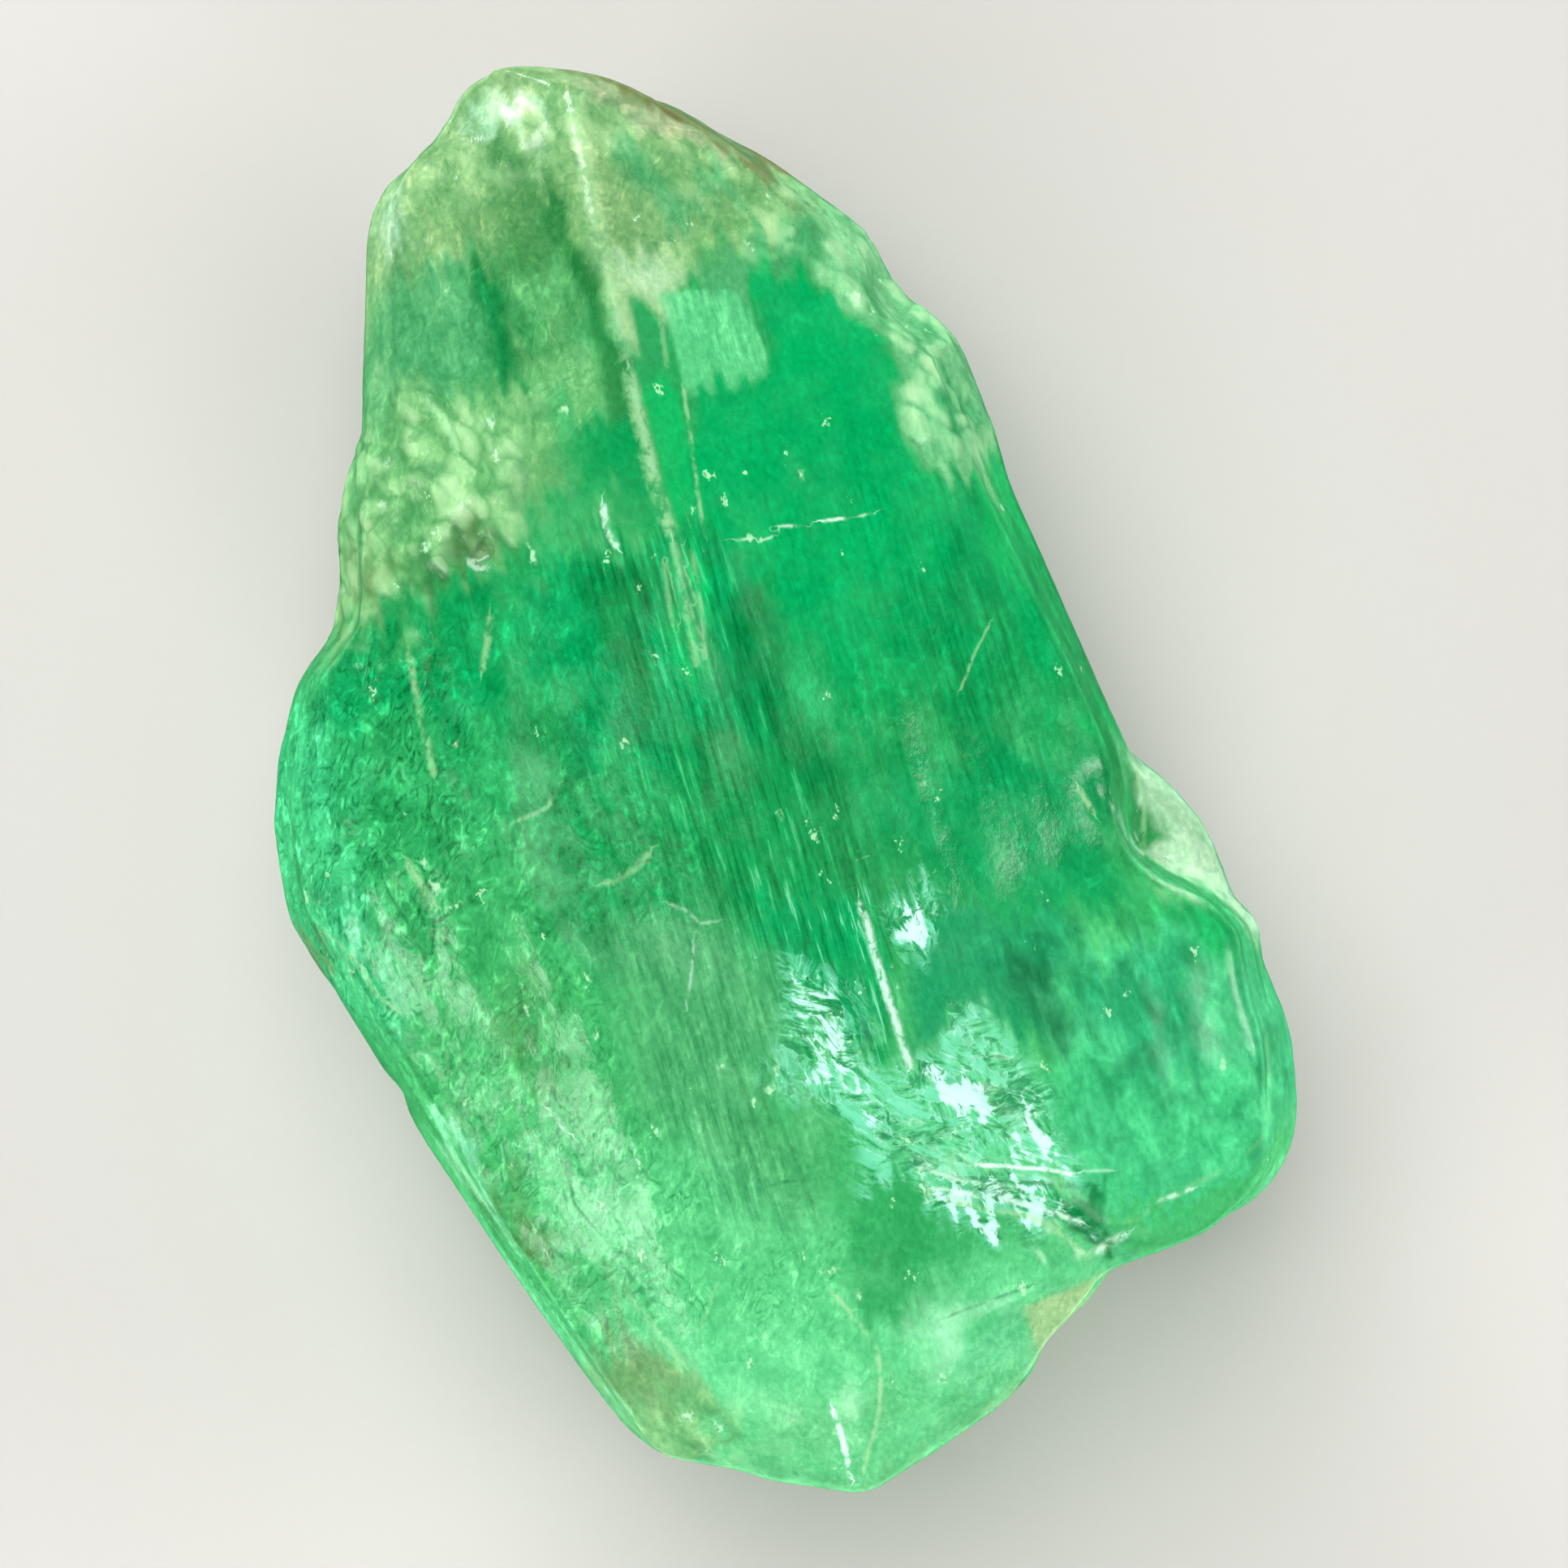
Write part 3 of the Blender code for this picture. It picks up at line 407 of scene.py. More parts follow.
# White marks, some of them painted glints
whiteMarksAndGlints = (
    (0.065, 0.80, ((1.20, -2.2), (1.20, -3.3), (1.24, -4.4))),
    (0.030, 0.50, ((1.35, -3.0), (1.36, -3.6), (1.38, -4.3))),
    (0.055, 0.90, ((-1.0, -8.6), (-0.99, -9.0), (-1.03, -9.6))),
    (0.045, 0.85, ((1.15, -6.1), (1.6, -6.32), (2.05, -6.55), (2.5, -6.82), (2.85, -7.1))),
    (0.035, 0.85, ((1.5, -5.85), (2.1, -6.05), (2.5, -6.2), (2.9, -6.38))),
    (0.040, 0.60, ((1.0, -5.75), (1.5, -6.1), (2.2, -6.4))),
    (0.030, 0.40, ((2.6, -6.2), (3.1, -6.42), (3.4, -6.5))),
    (0.090, 0.70, ((2.95, -7.6), (3.35, -7.45))),
    (0.045, 0.60, ((3.95, -7.12), (4.4, -7.1))),
    # a painted glint on the brown spot
    (0.050, 0.60, ((-4.18, -5.25), (-4.14, -5.5))),
    (0.040, 0.85, ((-3.5, -3.75), (-3.35, -4.05))),
    # a painted glint along the front face's edge
    (0.070, 0.85, ((4.85, -1.85), (4.92, -2.35), (5.05, -2.65))),
    (0.050, 0.70, ((-0.60, 3.75), (-0.66, 3.45), (-0.58, 3.2))),
    (0.030, 0.80, ((2.12, 2.78), (2.42, 2.74))),
    (0.030, 0.60, ((1.55, 2.86), (1.80, 2.80))),
    (0.026, 0.55, ((0.95, 2.84), (1.15, 2.80))),
    (0.024, 0.50, ((1.30, 2.74), (1.42, 2.76))),
    (0.025, 0.60, ((2.60, 2.72), (2.75, 2.72))),
    (0.030, 0.35, ((-1.2, -1.5), (-1.0, -1.65), (-0.9, -1.85), (-0.7, -1.88))),
    (0.030, 0.40, ((-1.05, -2.1), (-1.2, -2.5), (-1.35, -2.8))),
)
darkMarks = (
    (0.060, 0.55, ((-3.45, -2.0), (-3.48, -2.6), (-3.42, -3.2), (-3.38, -3.6))),
    (0.030, 0.60, ((-3.36, -4.15), (-3.50, -4.6), (-3.57, -5.0), (-3.40, -5.35))),
    (0.032, 0.55, ((0.85, -7.78), (1.4, -7.73), (1.95, -7.7))),
    (0.030, 0.60, ((-1.0, -5.42), (-0.75, -5.42), (-0.5, -5.47))),
    (0.032, 0.65, ((-4.8, 0.2), (-4.76, -0.35), (-4.62, -0.8))),
    (0.032, 0.75, ((-4.45, -0.78), (-4.22, -0.9), (-4.05, -0.82))),
    (0.045, 0.45, ((-4.25, -4.0), (-4.28, -4.4))),
    (0.055, 0.70, ((1.4, -6.02), (2.0, -6.22), (2.6, -6.48), (3.1, -6.62))),
    (0.040, 0.40, ((-0.55, -5.0), (-0.5, -5.8))),
    (0.050, 0.50, ((-3.0, -1.1), (-2.85, -1.4))),
    (0.060, 0.50, ((5.65, -5.65), (5.7, -5.9))),
    (0.070, 0.60, ((2.7, -7.1), (2.95, -7.4))),
    (0.060, 0.70, ((0.29, 8.38), (0.32, 8.25))),
    (0.060, 0.75, ((-2.45, 3.68), (-2.33, 3.76))),
    (0.050, 0.50, ((1.97, -3.7), (2.08, -3.95))),
    (0.070, 0.60, ((0.8, -3.55), (0.82, -3.95))),
    (0.030, 0.50, ((-5.0, 0.35), (-4.85, 0.3))),
    (0.040, 0.60, ((-6.25, -0.72), (-6.08, -1.0))),
    (0.060, 0.40, ((-3.4, -6.8), (-3.35, -7.4))),
)
# Larger bright inclusions, partly painted glints: place, half sizes, turn in degrees
flecks = (
    (1.12, 2.82, 0.05, 0.04, 20), (2.00, 3.45, 0.03, 0.09, 0), (0.50, -0.80, 0.03, 0.08, 0),
    (2.43, -0.88, 0.03, 0.07, 0), (1.40, -1.60, 0.09, 0.02, 0), (-3.35, 1.30, 0.06, 0.03, 40),
    (-0.75, 5.15, 0.08, 0.05, -40), (-1.75, 5.30, 0.07, 0.07, 0), (-1.30, 8.68, 0.05, 0.04, 30),
    (2.65, 7.25, 0.03, 0.08, 0), (2.20, 6.65, 0.04, 0.11, 20), (3.40, 5.60, 0.07, 0.13, 20),
    (3.65, 6.35, 0.05, 0.14, 10), (-2.60, -2.90, 0.03, 0.11, 10), (-3.40, -2.35, 0.04, 0.14, -10),
    (-5.75, -0.20, 0.08, 0.04, 30), (-0.60, -4.20, 0.12, 0.05, 0), (-0.45, -3.95, 0.05, 0.12, 0),
    (-0.50, -6.73, 0.14, 0.04, 0), (-0.25, -7.15, 0.03, 0.10, 0), (-2.90, -8.20, 0.11, 0.06, 0),
    (-2.55, -8.45, 0.06, 0.10, 0), (5.27, -5.60, 0.05, 0.10, 0), (-1.70, 3.40, 0.05, 0.14, 0),
    (-0.62, 3.62, 0.04, 0.10, 20), (-3.05, 3.95, 0.10, 0.06, 30), (-2.40, 4.35, 0.10, 0.05, 0),
    (-4.20, -0.10, 0.06, 0.09, 0), (-4.12, -0.45, 0.07, 0.12, 10), (-3.95, -0.75, 0.10, 0.05, 0),
    (-1.15, -3.75, 0.06, 0.03, 0),
)

paintSizes = {
    "seed": 4,  # of the patches' ragged edges
    "sways": (  # how ragged the patches' edges are: size, and reach across and along
        ((1.10, 1.10, 1.10), (0.45, 0.45)),
        ((0.34, 0.34, 0.34), (0.16, 0.16)),
        ((0.13, 1.40, 0.40), (0.0, 0.45)),  # feathers along the growth lines
    ),
    "sideSway": ((2.4, 2.4, 1.6), (1.0, 1.8)),  # and on the steep sides, where a patch ends anywhere
    "sideShare": 0.65,  # what is left of the patches there
    "sideFade": 3.0,  # how much further their edges fade there
    "crisp": 0.20,  # a patch whose edge fades in less follows a real step, and isn't ragged
    "near": 0.22,  # how far from a mark its strength is still kept
    "markReach": 8.0,  # half widths
}


def smoothStep(low, high, values):
    t = np.clip((values - low) / (high - low), 0, 1)
    return t * t * (3 - 2 * t)


def noiseVectors(points, size, seed):
    shift = np.array((1, 1.7, 0.6)) * seed
    return np.array([noise.noise_vector(point) for point in points / size + shift])


def swayed(points, side):
    plan = points[:, :2].copy()
    for seed, (size, reach) in enumerate(paintSizes["sways"]):
        plan += np.multiply(reach, noiseVectors(points, size, 3.0 + seed)[:, :2])
    size, reach = paintSizes["sideSway"]
    return plan + side[:, None] * np.multiply(reach, noiseVectors(points, size, 8.0)[:, :2])


def besidePath(plan, path):
    # Signed distance to a path, above zero on its left
    nearest = np.full(len(plan), np.inf)
    for start, end in zip(path, path[1:]):
        start, run = np.array(start), np.subtract(end, start)
        share = np.clip((plan - start) @ run / (run @ run), 0, 1)
        away = plan - start - share[:, None] * run
        distance = np.copysign(np.hypot(away[:, 0], away[:, 1]), run[0] * away[:, 1] - run[1] * away[:, 0])
        closer = np.abs(distance) < np.abs(nearest)
        nearest[closer] = distance[closer]
    return nearest


def depthInside(plan, corners):
    # Distance to a closed outline, above zero inside it
    inside = np.zeros(len(plan), bool)
    x, y = plan[:, 0], plan[:, 1]
    for (x0, y0), (x1, y1) in zip(corners, corners[1:] + corners[:1]):
        if y0 != y1:
            inside ^= ((y0 > y) != (y1 > y)) & (x < (x1 - x0) * (y - y0) / (y1 - y0) + x0)
    distance = np.abs(besidePath(plan, corners + corners[:1]))
    return np.where(inside, distance, -distance)


def patchShare(plan, share, fade, corners):
    return share * smoothStep(-fade / 2, fade / 2, depthInside(plan, corners))


def toneShares(points, side):
    # How much of each tone shows at each point, the length's tones first and the patches over them
    straight, plan = points[:, :2], swayed(points, side)
    levels = list(lengthTones)
    shares = []
    for number, level in enumerate(levels):
        peak = np.zeros(len(levels))
        peak[number] = 1
        shares.append(np.interp(plan[:, 1], levels, peak))
    for tone, share, fade, corners in tonePatches.values():
        place = straight + (plan - straight) * side[:, None] if fade < paintSizes["crisp"] else plan
        cover = patchShare(place, share, fade * (1 + paintSizes["sideFade"] * side), corners)
        cover *= 1 - (1 - paintSizes["sideShare"]) * side
        shares = [under * (1 - cover) for under in shares] + [cover]
    return np.array(shares)


def tones():
    names = list(lengthTones.values()) + [patch[0] for patch in tonePatches.values()]
    return np.array([linearHex(stoneTones[name])[:3] for name in names])


def fieldStrength(plan, patches):
    return np.max([patchShare(plan, *patch) for patch in patches], axis=0)


def markFields(plan, marks):
    # Sideways place in half widths, and strength, of the nearest of some marks
    side = np.full(len(plan), paintSizes["markReach"])
    strength = np.zeros(len(plan))
    for halfWidth, share, path in marks:
        distance = besidePath(plan, path)
        near = share * (1 - smoothStep(halfWidth, halfWidth + paintSizes["near"], np.abs(distance)))
        stronger = near > strength
        side[stronger] = distance[stronger] / halfWidth
        strength[stronger] = near[stronger]
    return np.clip(side, -paintSizes["markReach"], paintSizes["markReach"]), strength


def fleckField(plan):
    # Above 1 inside a bright speck
    field = np.zeros(len(plan))
    for x, y, halfWidth, halfLength, turn in flecks:
        c, s = math.cos(math.radians(turn)), math.sin(math.radians(turn))
        across = ((plan[:, 0] - x) * c + (plan[:, 1] - y) * s) / (halfWidth + 0.02)
        along = (-(plan[:, 0] - x) * s + (plan[:, 1] - y) * c) / (halfLength + 0.02)
        field = np.maximum(field, 2 - np.hypot(across, along))
    return field


flareSpine = ((-0.25, -1.8), (-0.05, -3.0), (0.35, -4.0), (1.0, -4.9), (1.9, -5.7), (2.9, -6.4), (3.6, -6.7))


def flareFlow(plan):
    # Place across and along the fracture, so that its splinters follow its bend
    across = besidePath(plan, flareSpine)
    along = np.zeros(len(plan))
    best = np.full(len(plan), np.inf)
    passed = 0.0
    for start, end in zip(flareSpine, flareSpine[1:]):
        start, run = np.array(start), np.subtract(end, start)
        length = math.hypot(*run)
        share = np.clip((plan - start) @ run / length ** 2, 0, 1)
        gap = np.hypot(*(plan - start - share[:, None] * run).T)
        closer = gap < best
        along[closer] = passed + share[closer] * length
        best[closer] = gap[closer]
        passed += length
    return np.stack([across, along, np.zeros(len(plan))], axis=1)


def meshArray(mesh, name):
    values = np.empty(len(mesh.vertices) * 3, np.float32)
    mesh.vertices.foreach_get(name, values)
    return values.reshape(-1, 3)


def bakeModifiers(obj):
    graph = bpy.context.evaluated_depsgraph_get()
    obj.data = bpy.data.meshes.new_from_object(obj.evaluated_get(graph))
    obj.modifiers.clear()


def reliefTree(sizes):
    tree = bpy.data.node_groups.new("crystalRelief", "GeometryNodeTree")
    face = tree.interface
    face.new_socket("Geometry", in_out="INPUT", socket_type="NodeSocketGeometry")
    for name in sizes:
        face.new_socket(name, in_out="INPUT", socket_type="NodeSocketFloat")
    face.new_socket("material", in_out="INPUT", socket_type="NodeSocketMaterial")
    face.new_socket("Geometry", in_out="OUTPUT", socket_type="NodeSocketGeometry")
    given = addNode(tree, "NodeGroupInput").outputs
    place = addNode(tree, "GeometryNodeInputPosition")
    flow = addNode(tree, "GeometryNodeInputNamedAttribute", {"Name": "flow"}, data_type="FLOAT_VECTOR")

    def unevenness(size, stretch, seed):
        spread = addNode(tree, "ShaderNodeVectorMath", {0: place, 1: stretch}, operation="MULTIPLY")
        scale = addNode(tree, "ShaderNodeMath", {0: 1.0, 1: given[size]}, operation="DIVIDE")
        return addNode(tree, "ShaderNodeTexNoise", {
            "Vector": spread, "W": seed, "Scale": scale, "Detail": 2.0,
        }, noise_dimensions="4D")

    clods = addNode(tree, "ShaderNodeMath", {0: 1.0, 1: lumpCells(tree, place)[0]}, operation="SUBTRACT")
    worms = unevenness("wormSize", (1, 0.55, 1), 3.0)
    worms = addNode(tree, "ShaderNodeMath", {0: worms, 1: 0.5}, operation="SUBTRACT")
    worms = addNode(tree, "ShaderNodeMath", {0: worms}, operation="ABSOLUTE")
    worms = addNode(tree, "ShaderNodeMath", {0: worms, 1: 4.0}, operation="MULTIPLY")
    reliefs = (  # each one's height from 0 to 1, the size that gives its depth, and the field where it lies
        (unevenness("lineSpacing", (1, 0.05, 1), 1.0), "lineDepth", "fibres"),
        (clods, "clodDepth", "cloudy"),
        (worms, "wormDepth", "etched"),
        (cells(tree, flakePlace(tree, place, flow))[1], "hackleDepth", "flare"),
        (unevenness("grainSize", (1, 1, 1), 5.0), "grainDepth", "everywhere"),
    )
    total = 0.0
    for height, depth, where in reliefs:
        here = addNode(tree, "GeometryNodeInputNamedAttribute", {"Name": where}, data_type="FLOAT")
        deep = addNode(tree, "ShaderNodeMath", {0: given[depth], 1: here}, operation="MULTIPLY")
        level = addNode(tree, "ShaderNodeMath", {0: height, 1: 0.5}, operation="SUBTRACT")
        total = addNode(tree, "ShaderNodeMath", {0: level, 1: deep, 2: total}, operation="MULTIPLY_ADD")
    normal = addNode(tree, "GeometryNodeInputNormal")
    offset = addNode(tree, "ShaderNodeVectorMath", {0: normal, "Scale": total}, operation="SCALE")
    moved = addNode(tree, "GeometryNodeSetPosition", {"Geometry": given["Geometry"], "Offset": offset})
    whole = addNode(tree, "GeometryNodeRealizeInstances", {0: moved})
    coated = addNode(tree, "GeometryNodeSetMaterial", {"Geometry": whole, "Material": given["material"]})
    addNode(tree, "NodeGroupOutput", {0: coated})
    return tree


def setTreeInputs(modifier, values):
    for item in modifier.node_group.interface.items_tree:
        if item.in_out == "INPUT" and item.name in values:
            modifier[item.identifier] = values[item.name]


def makeCrystal(node, material):
    mesh = node.data.copy()
    mesh.name = "emeraldCrystal"
    mesh.materials.clear()
    mesh.transform(Matrix.Scale(perMetre, 4))
    crystal = bpy.data.objects.new("emeraldCrystal", mesh)
    bpy.context.scene.collection.objects.link(crystal)
    shape = bmesh.new()
    shape.from_mesh(mesh)
    bmesh.ops.remove_doubles(shape, verts=shape.verts, dist=1e-4)
    shape.to_mesh(mesh)
    shape.free()
    skin = crystal.modifiers.new("skin", "REMESH")
    skin.mode = "VOXEL"
    skin.voxel_size = crystalSkin["grain"]
    bakeModifiers(crystal)
    sides = 1 - smoothStep(0.35, 0.75, meshArray(crystal.data, "normal")[:, 2])
    worn = patchShare(meshArray(crystal.data, "co")[:, :2], *crystalSkin["wornArea"])
    shareOut(crystal.vertex_groups.new(name="worn"), np.maximum(sides, worn))
    for rounds, group in ((crystalSkin["smoothing"], ""), (crystalSkin["wornSmoothing"], "worn")):
        smooth = crystal.modifiers.new("smooth", "SMOOTH")
        smooth.factor = 0.5
        smooth.iterations = rounds
        smooth.vertex_group = group
    bakeModifiers(crystal)
    crystal.vertex_groups.clear()
    thinBack(crystal)
    print("crystal skin:", len(crystal.data.polygons), "faces")

    paintFields(crystal.data)
    print("crystal fields done")
    relief = crystal.modifiers.new("relief", "NODES")
    sizes = {k: v for k, v in crystalSkin.items() if k.endswith(("Size", "Depth", "Spacing"))}
    relief.node_group = reliefTree(sizes)
    setTreeInputs(relief, {**sizes, "material": material})
    bakeModifiers(crystal)
    crystal.data.transform(Matrix.Scale(1 / perMetre, 4))
    keepInBox(crystal.data)
    crystal.data.shade_smooth()
    print("crystal relief done")
    return crystal


def shareOut(group, weights):
    # Vertex weights in tenths
    for step in range(1, 11):
        members = np.nonzero(np.round(weights * 10) == step)[0]
        group.add(members.tolist(), step / 10, "REPLACE")


def thinBack(crystal):
    # Faces turned away from the front need fewer triangles
    mesh = crystal.data
    normals = meshArray(mesh, "normal")
    back = crystal.vertex_groups.new(name="back")
    shareOut(back, 1 - smoothStep(-0.1, 0.35, normals[:, 2]))
    thin = crystal.modifiers.new("thin", "DECIMATE")
    thin.ratio = min(1.0, crystalSkin["faces"] / (2 * len(mesh.polygons)))
    thin.vertex_group = "back"
    thin.vertex_group_factor = 1.0
    bakeModifiers(crystal)
    crystal.vertex_groups.clear()


def paintFields(mesh):
    noise.seed_set(paintSizes["seed"])
    points, normals = meshArray(mesh, "co"), meshArray(mesh, "normal")
    raised = smoothStep(0.2, 1.2, points[:, 2])  # the rest face stays flat
    front = smoothStep(-0.1, 0.5, normals[:, 2])
    plan = swayed(points, 1 - front)
    addField(mesh, "everywhere", raised)
    for name, patches in textureFields.items():
        addField(mesh, name, fieldStrength(plan, patches) * (0.5 + 0.5 * front) * raised)
    for name, marks in (("dark", darkMarks), ("pale", paleMarks), ("white", whiteMarksAndGlints)):
        side, strength = markFields(points[:, :2], marks)
        addField(mesh, name + "Side", side)
        addField(mesh, name + "Share", strength * front)
    addField(mesh, "fleck", fleckField(points[:, :2]) * front)
    addField(mesh, "rim", smoothStep(0.60, 0.15, normals[:, 2]))
    addField(mesh, "flow", flareFlow(points[:, :2]))
    painted = np.tensordot(toneShares(points, 1 - front), tones(), axes=(0, 0))
    addField(mesh, "tone", np.column_stack([painted, np.ones(len(painted))]))


def addField(mesh, name, values):
    width = values.shape[1] if values.ndim > 1 else 1
    kind, slot = {1: ("FLOAT", "value"), 3: ("FLOAT_VECTOR", "vector"), 4: ("FLOAT_COLOR", "color")}[width]
    flat = np.ascontiguousarray(values, np.float32).ravel()
    mesh.attributes.new(name, kind, "POINT").data.foreach_set(slot, flat)


def keepInBox(mesh):
    points = np.clip(meshArray(mesh, "co"), cadBox[0], cadBox[1])
    mesh.vertices.foreach_set("co", points.astype(np.float32).ravel())
    mesh.update()


emeraldLook = {
    "ior": 1.58,
    "gloss": 0.3,  # an etched face shines less than a cut one, at 0.5
    "bodyColour": "#3fe08c",
    "bodyDensity": 60.0,  # per metre
    "clearShare": 0.45,
    "cloudyShare": 0.25,
    "paintedSideShade": 0.76,  # painted shade: what is left of the upright sides' colour beside the front, against the low lamps' light on them
    "rimRoughness": 0.40,  # added on the worn sides
    "bumpDepth": 0.00005,
}

# Fine patterns: size in millimetres across, along and down, and turn in degrees from the prism's axis. Where
# one colours the stone, its light and its dark give what they let through beside the tone that they lie in,
# and the values of the pattern that they start and end at. Real growth lines and etched pits go down to
# 0.01 mm: grain, fibres, etched and splinters are drawn coarser, as fine as still shows from a step away.
finePatterns = {
    "grain": {
        "size": (0.075, 0.11, 0.25), "detail": 2.0,
        "light": (1.12, 0.50, 0.66), "dark": (0.90, 0.50, 0.34), "where": "everywhere",
    },
    "mottle": {
        "size": (0.52, 0.72, 1.00), "detail": 3.0, "roughness": 0.5,
        "light": (1.22, 0.46, 0.70), "dark": (0.80, 0.52, 0.30), "where": "mottle",
    },
    "curds": {
        "size": (0.17, 0.24, 0.70), "turn": -12, "detail": 3.0, "distortion": 0.6,
        "light": (1.20, 0.50, 0.70), "dark": (0.82, 0.50, 0.32), "where": "mottle",
    },
    "reflectionStreaks": {
        "size": (0.30, 0.62, 1.20), "turn": 8, "detail": 2.5, "distortion": 0.4,
        "light": (1.38, 0.48, 0.70), "dark": (0.72, 0.52, 0.30), "where": "reflectionStreaks",
    },
    "fibres": {
        "size": (0.075, 1.0, 0.30), "detail": 3.0, "distortion": 0.2,
        "light": (1.45, 0.50, 0.68), "dark": (0.64, 0.50, 0.33), "where": "fibres",
    },
    "etched": {
        "size": (0.13, 0.26, 1.00), "turn": -40, "detail": 2.0, "distortion": 1.0,
        "light": (1.45, 0.50, 0.72), "dark": (0.60, 0.44, 0.30), "where": "etched",
    },
    "curls": {"size": (0.50, 0.95, 1.20), "turn": -30, "detail": 2.0, "distortion": 0.7},
    "lumps": {"size": (0.30, 0.62, 1.20), "turn": 28, "bend": 1.6},
    "lumpBend": {"size": (0.50, 0.50, 1.20), "detail": 1.0},
    "splinters": {"size": (0.090, 0.48, 1.20), "detail": 5.0, "roughness": 0.7, "distortion": 0.5},
    "crossing": {"size": (0.070, 0.32, 1.20), "turn": 42, "detail": 5.0, "roughness": 0.7, "distortion": 0.6},
    "upright": {"size": (0.080, 0.36, 1.20), "turn": -38, "detail": 5.0, "roughness": 0.7, "distortion": 0.6},
    "flakes": {"size": (0.24, 0.52, 1.20), "bend": 1.2},
    "flakeBend": {"size": (0.26, 0.34, 1.20), "detail": 3.0},
    "sparkle": {"size": (0.34, 0.46, 0.60), "bend": 1.0},
}

# Hair-fine curls, in painted shade and a painted highlight: the value of their pattern that each follows, and
# what it lets through
curlShadeAndHighlight = ((0.40, 0.52), (0.49, 0.52), (0.56, 1.50))

# The fracture's flakes: what makes each one bright, and how its splinters lie, by chance
flareShine = {"flake": 0.26, "flakeSteps": 7.0, "splinters": 1.5, "curds": 0.5, "base": -0.25}
splinterTurns = (("crossing", 0.66), ("upright", 0.33))

# Colours of the features inside, from their middle out
featureTones = {
    "lumpMilkAndHighlight": "#bee6b0",
    "splinter": "#84f6c8",
    "splinterShade": "#12905e",
    "crack": "#b6fae0",
    "heart": "#ccfff0",
    "needle": "#a8f4d0",
    "dark": "#1c7048",
    "pale": "#b6f2b2",
    "white": "#d8fbe8",
    "speckAndGlint": "#bcecc0",
    "iron": "#76683a",
}


def stretched(tree, source, name):
    # Place in units of a pattern's own size, turned its own way
    look = finePatterns[name]
    turned = addNode(tree, "ShaderNodeVectorRotate", {
        "Vector": source, "Angle": -math.radians(look.get("turn", 0)),
    }, rotation_type="Z_AXIS")
    units = tuple(1 / size for size in look["size"])
    return addNode(tree, "ShaderNodeVectorMath", {0: turned, 1: units}, operation="MULTIPLY")


def pattern(tree, name, source):
    look = finePatterns[name]
    return addNode(tree, "ShaderNodeTexNoise", {
        "Vector": stretched(tree, source, name), "Scale": 1.0, "Detail": look["detail"],
        "Roughness": look.get("roughness", 0.6), "Distortion": look.get("distortion", 0.0),
    })


def bentCells(tree, name, source, bend):
    # Place in units of a pattern's own cells, with their sides bent
    return addNode(tree, "ShaderNodeVectorMath", {
        0: bend.outputs["Color"], 1: (finePatterns[name]["bend"],) * 3, 2: stretched(tree, source, name),
    }, operation="MULTIPLY_ADD")


def cells(tree, bent):
    # How far from each cell's middle, and each one's own chance from 0 to 1
    found = addNode(tree, "ShaderNodeTexVoronoi", {"Vector": bent, "Scale": 1.0}).outputs
    chance = addNode(tree, "ShaderNodeVectorMath", {0: found["Color"], 1: (1, 0, 0)}, operation="DOT_PRODUCT")
    return found["Distance"], chance


def lumpCells(tree, place):
    return cells(tree, bentCells(tree, "lumps", place, pattern(tree, "lumpBend", place)))


def flakePlace(tree, place, flow):
    return bentCells(tree, "flakes", flow, pattern(tree, "flakeBend", place))


def sharePart(tree, *parts):
    # How far all the parts hold at once. A part is a share, or a value and the ends that it rises between.
    whole = None
    for part in parts:
        if isinstance(part, tuple):
            value, low, high, first, last = (part + (0.0, 1.0))[:5]
            part = addNode(tree, "ShaderNodeMapRange", {0: value, 1: low, 2: high, 3: first, 4: last},
                           interpolation_type="SMOOTHSTEP")
        if whole is not None:
            part = addNode(tree, "ShaderNodeMath", {0: whole, 1: part}, operation="MULTIPLY")
        whole = part
    return whole


def toned(tree, under, tone, *parts):
    # A tone laid over another, by sockets 6 and 7 of the Mix node, which are its colours
    return addNode(tree, "ShaderNodeMix", {
        0: sharePart(tree, *parts), 6: under, 7: linearHex(featureTones[tone]),
    }, data_type="RGBA")


def depthAndShadeTint(tree, under, amount, *parts):
    # More of the stone to look through takes out red first, then blue, and less of it brings them back. The
    # same tint also paints shade and highlight: on the upright sides, between lumps and along curls
    letThrough = (amount ** 1.8, amount, amount ** 1.2, 1.0)
    return addNode(tree, "ShaderNodeMix", {
        0: sharePart(tree, *parts), 6: under, 7: letThrough,
    }, data_type="RGBA", blend_type="MULTIPLY")


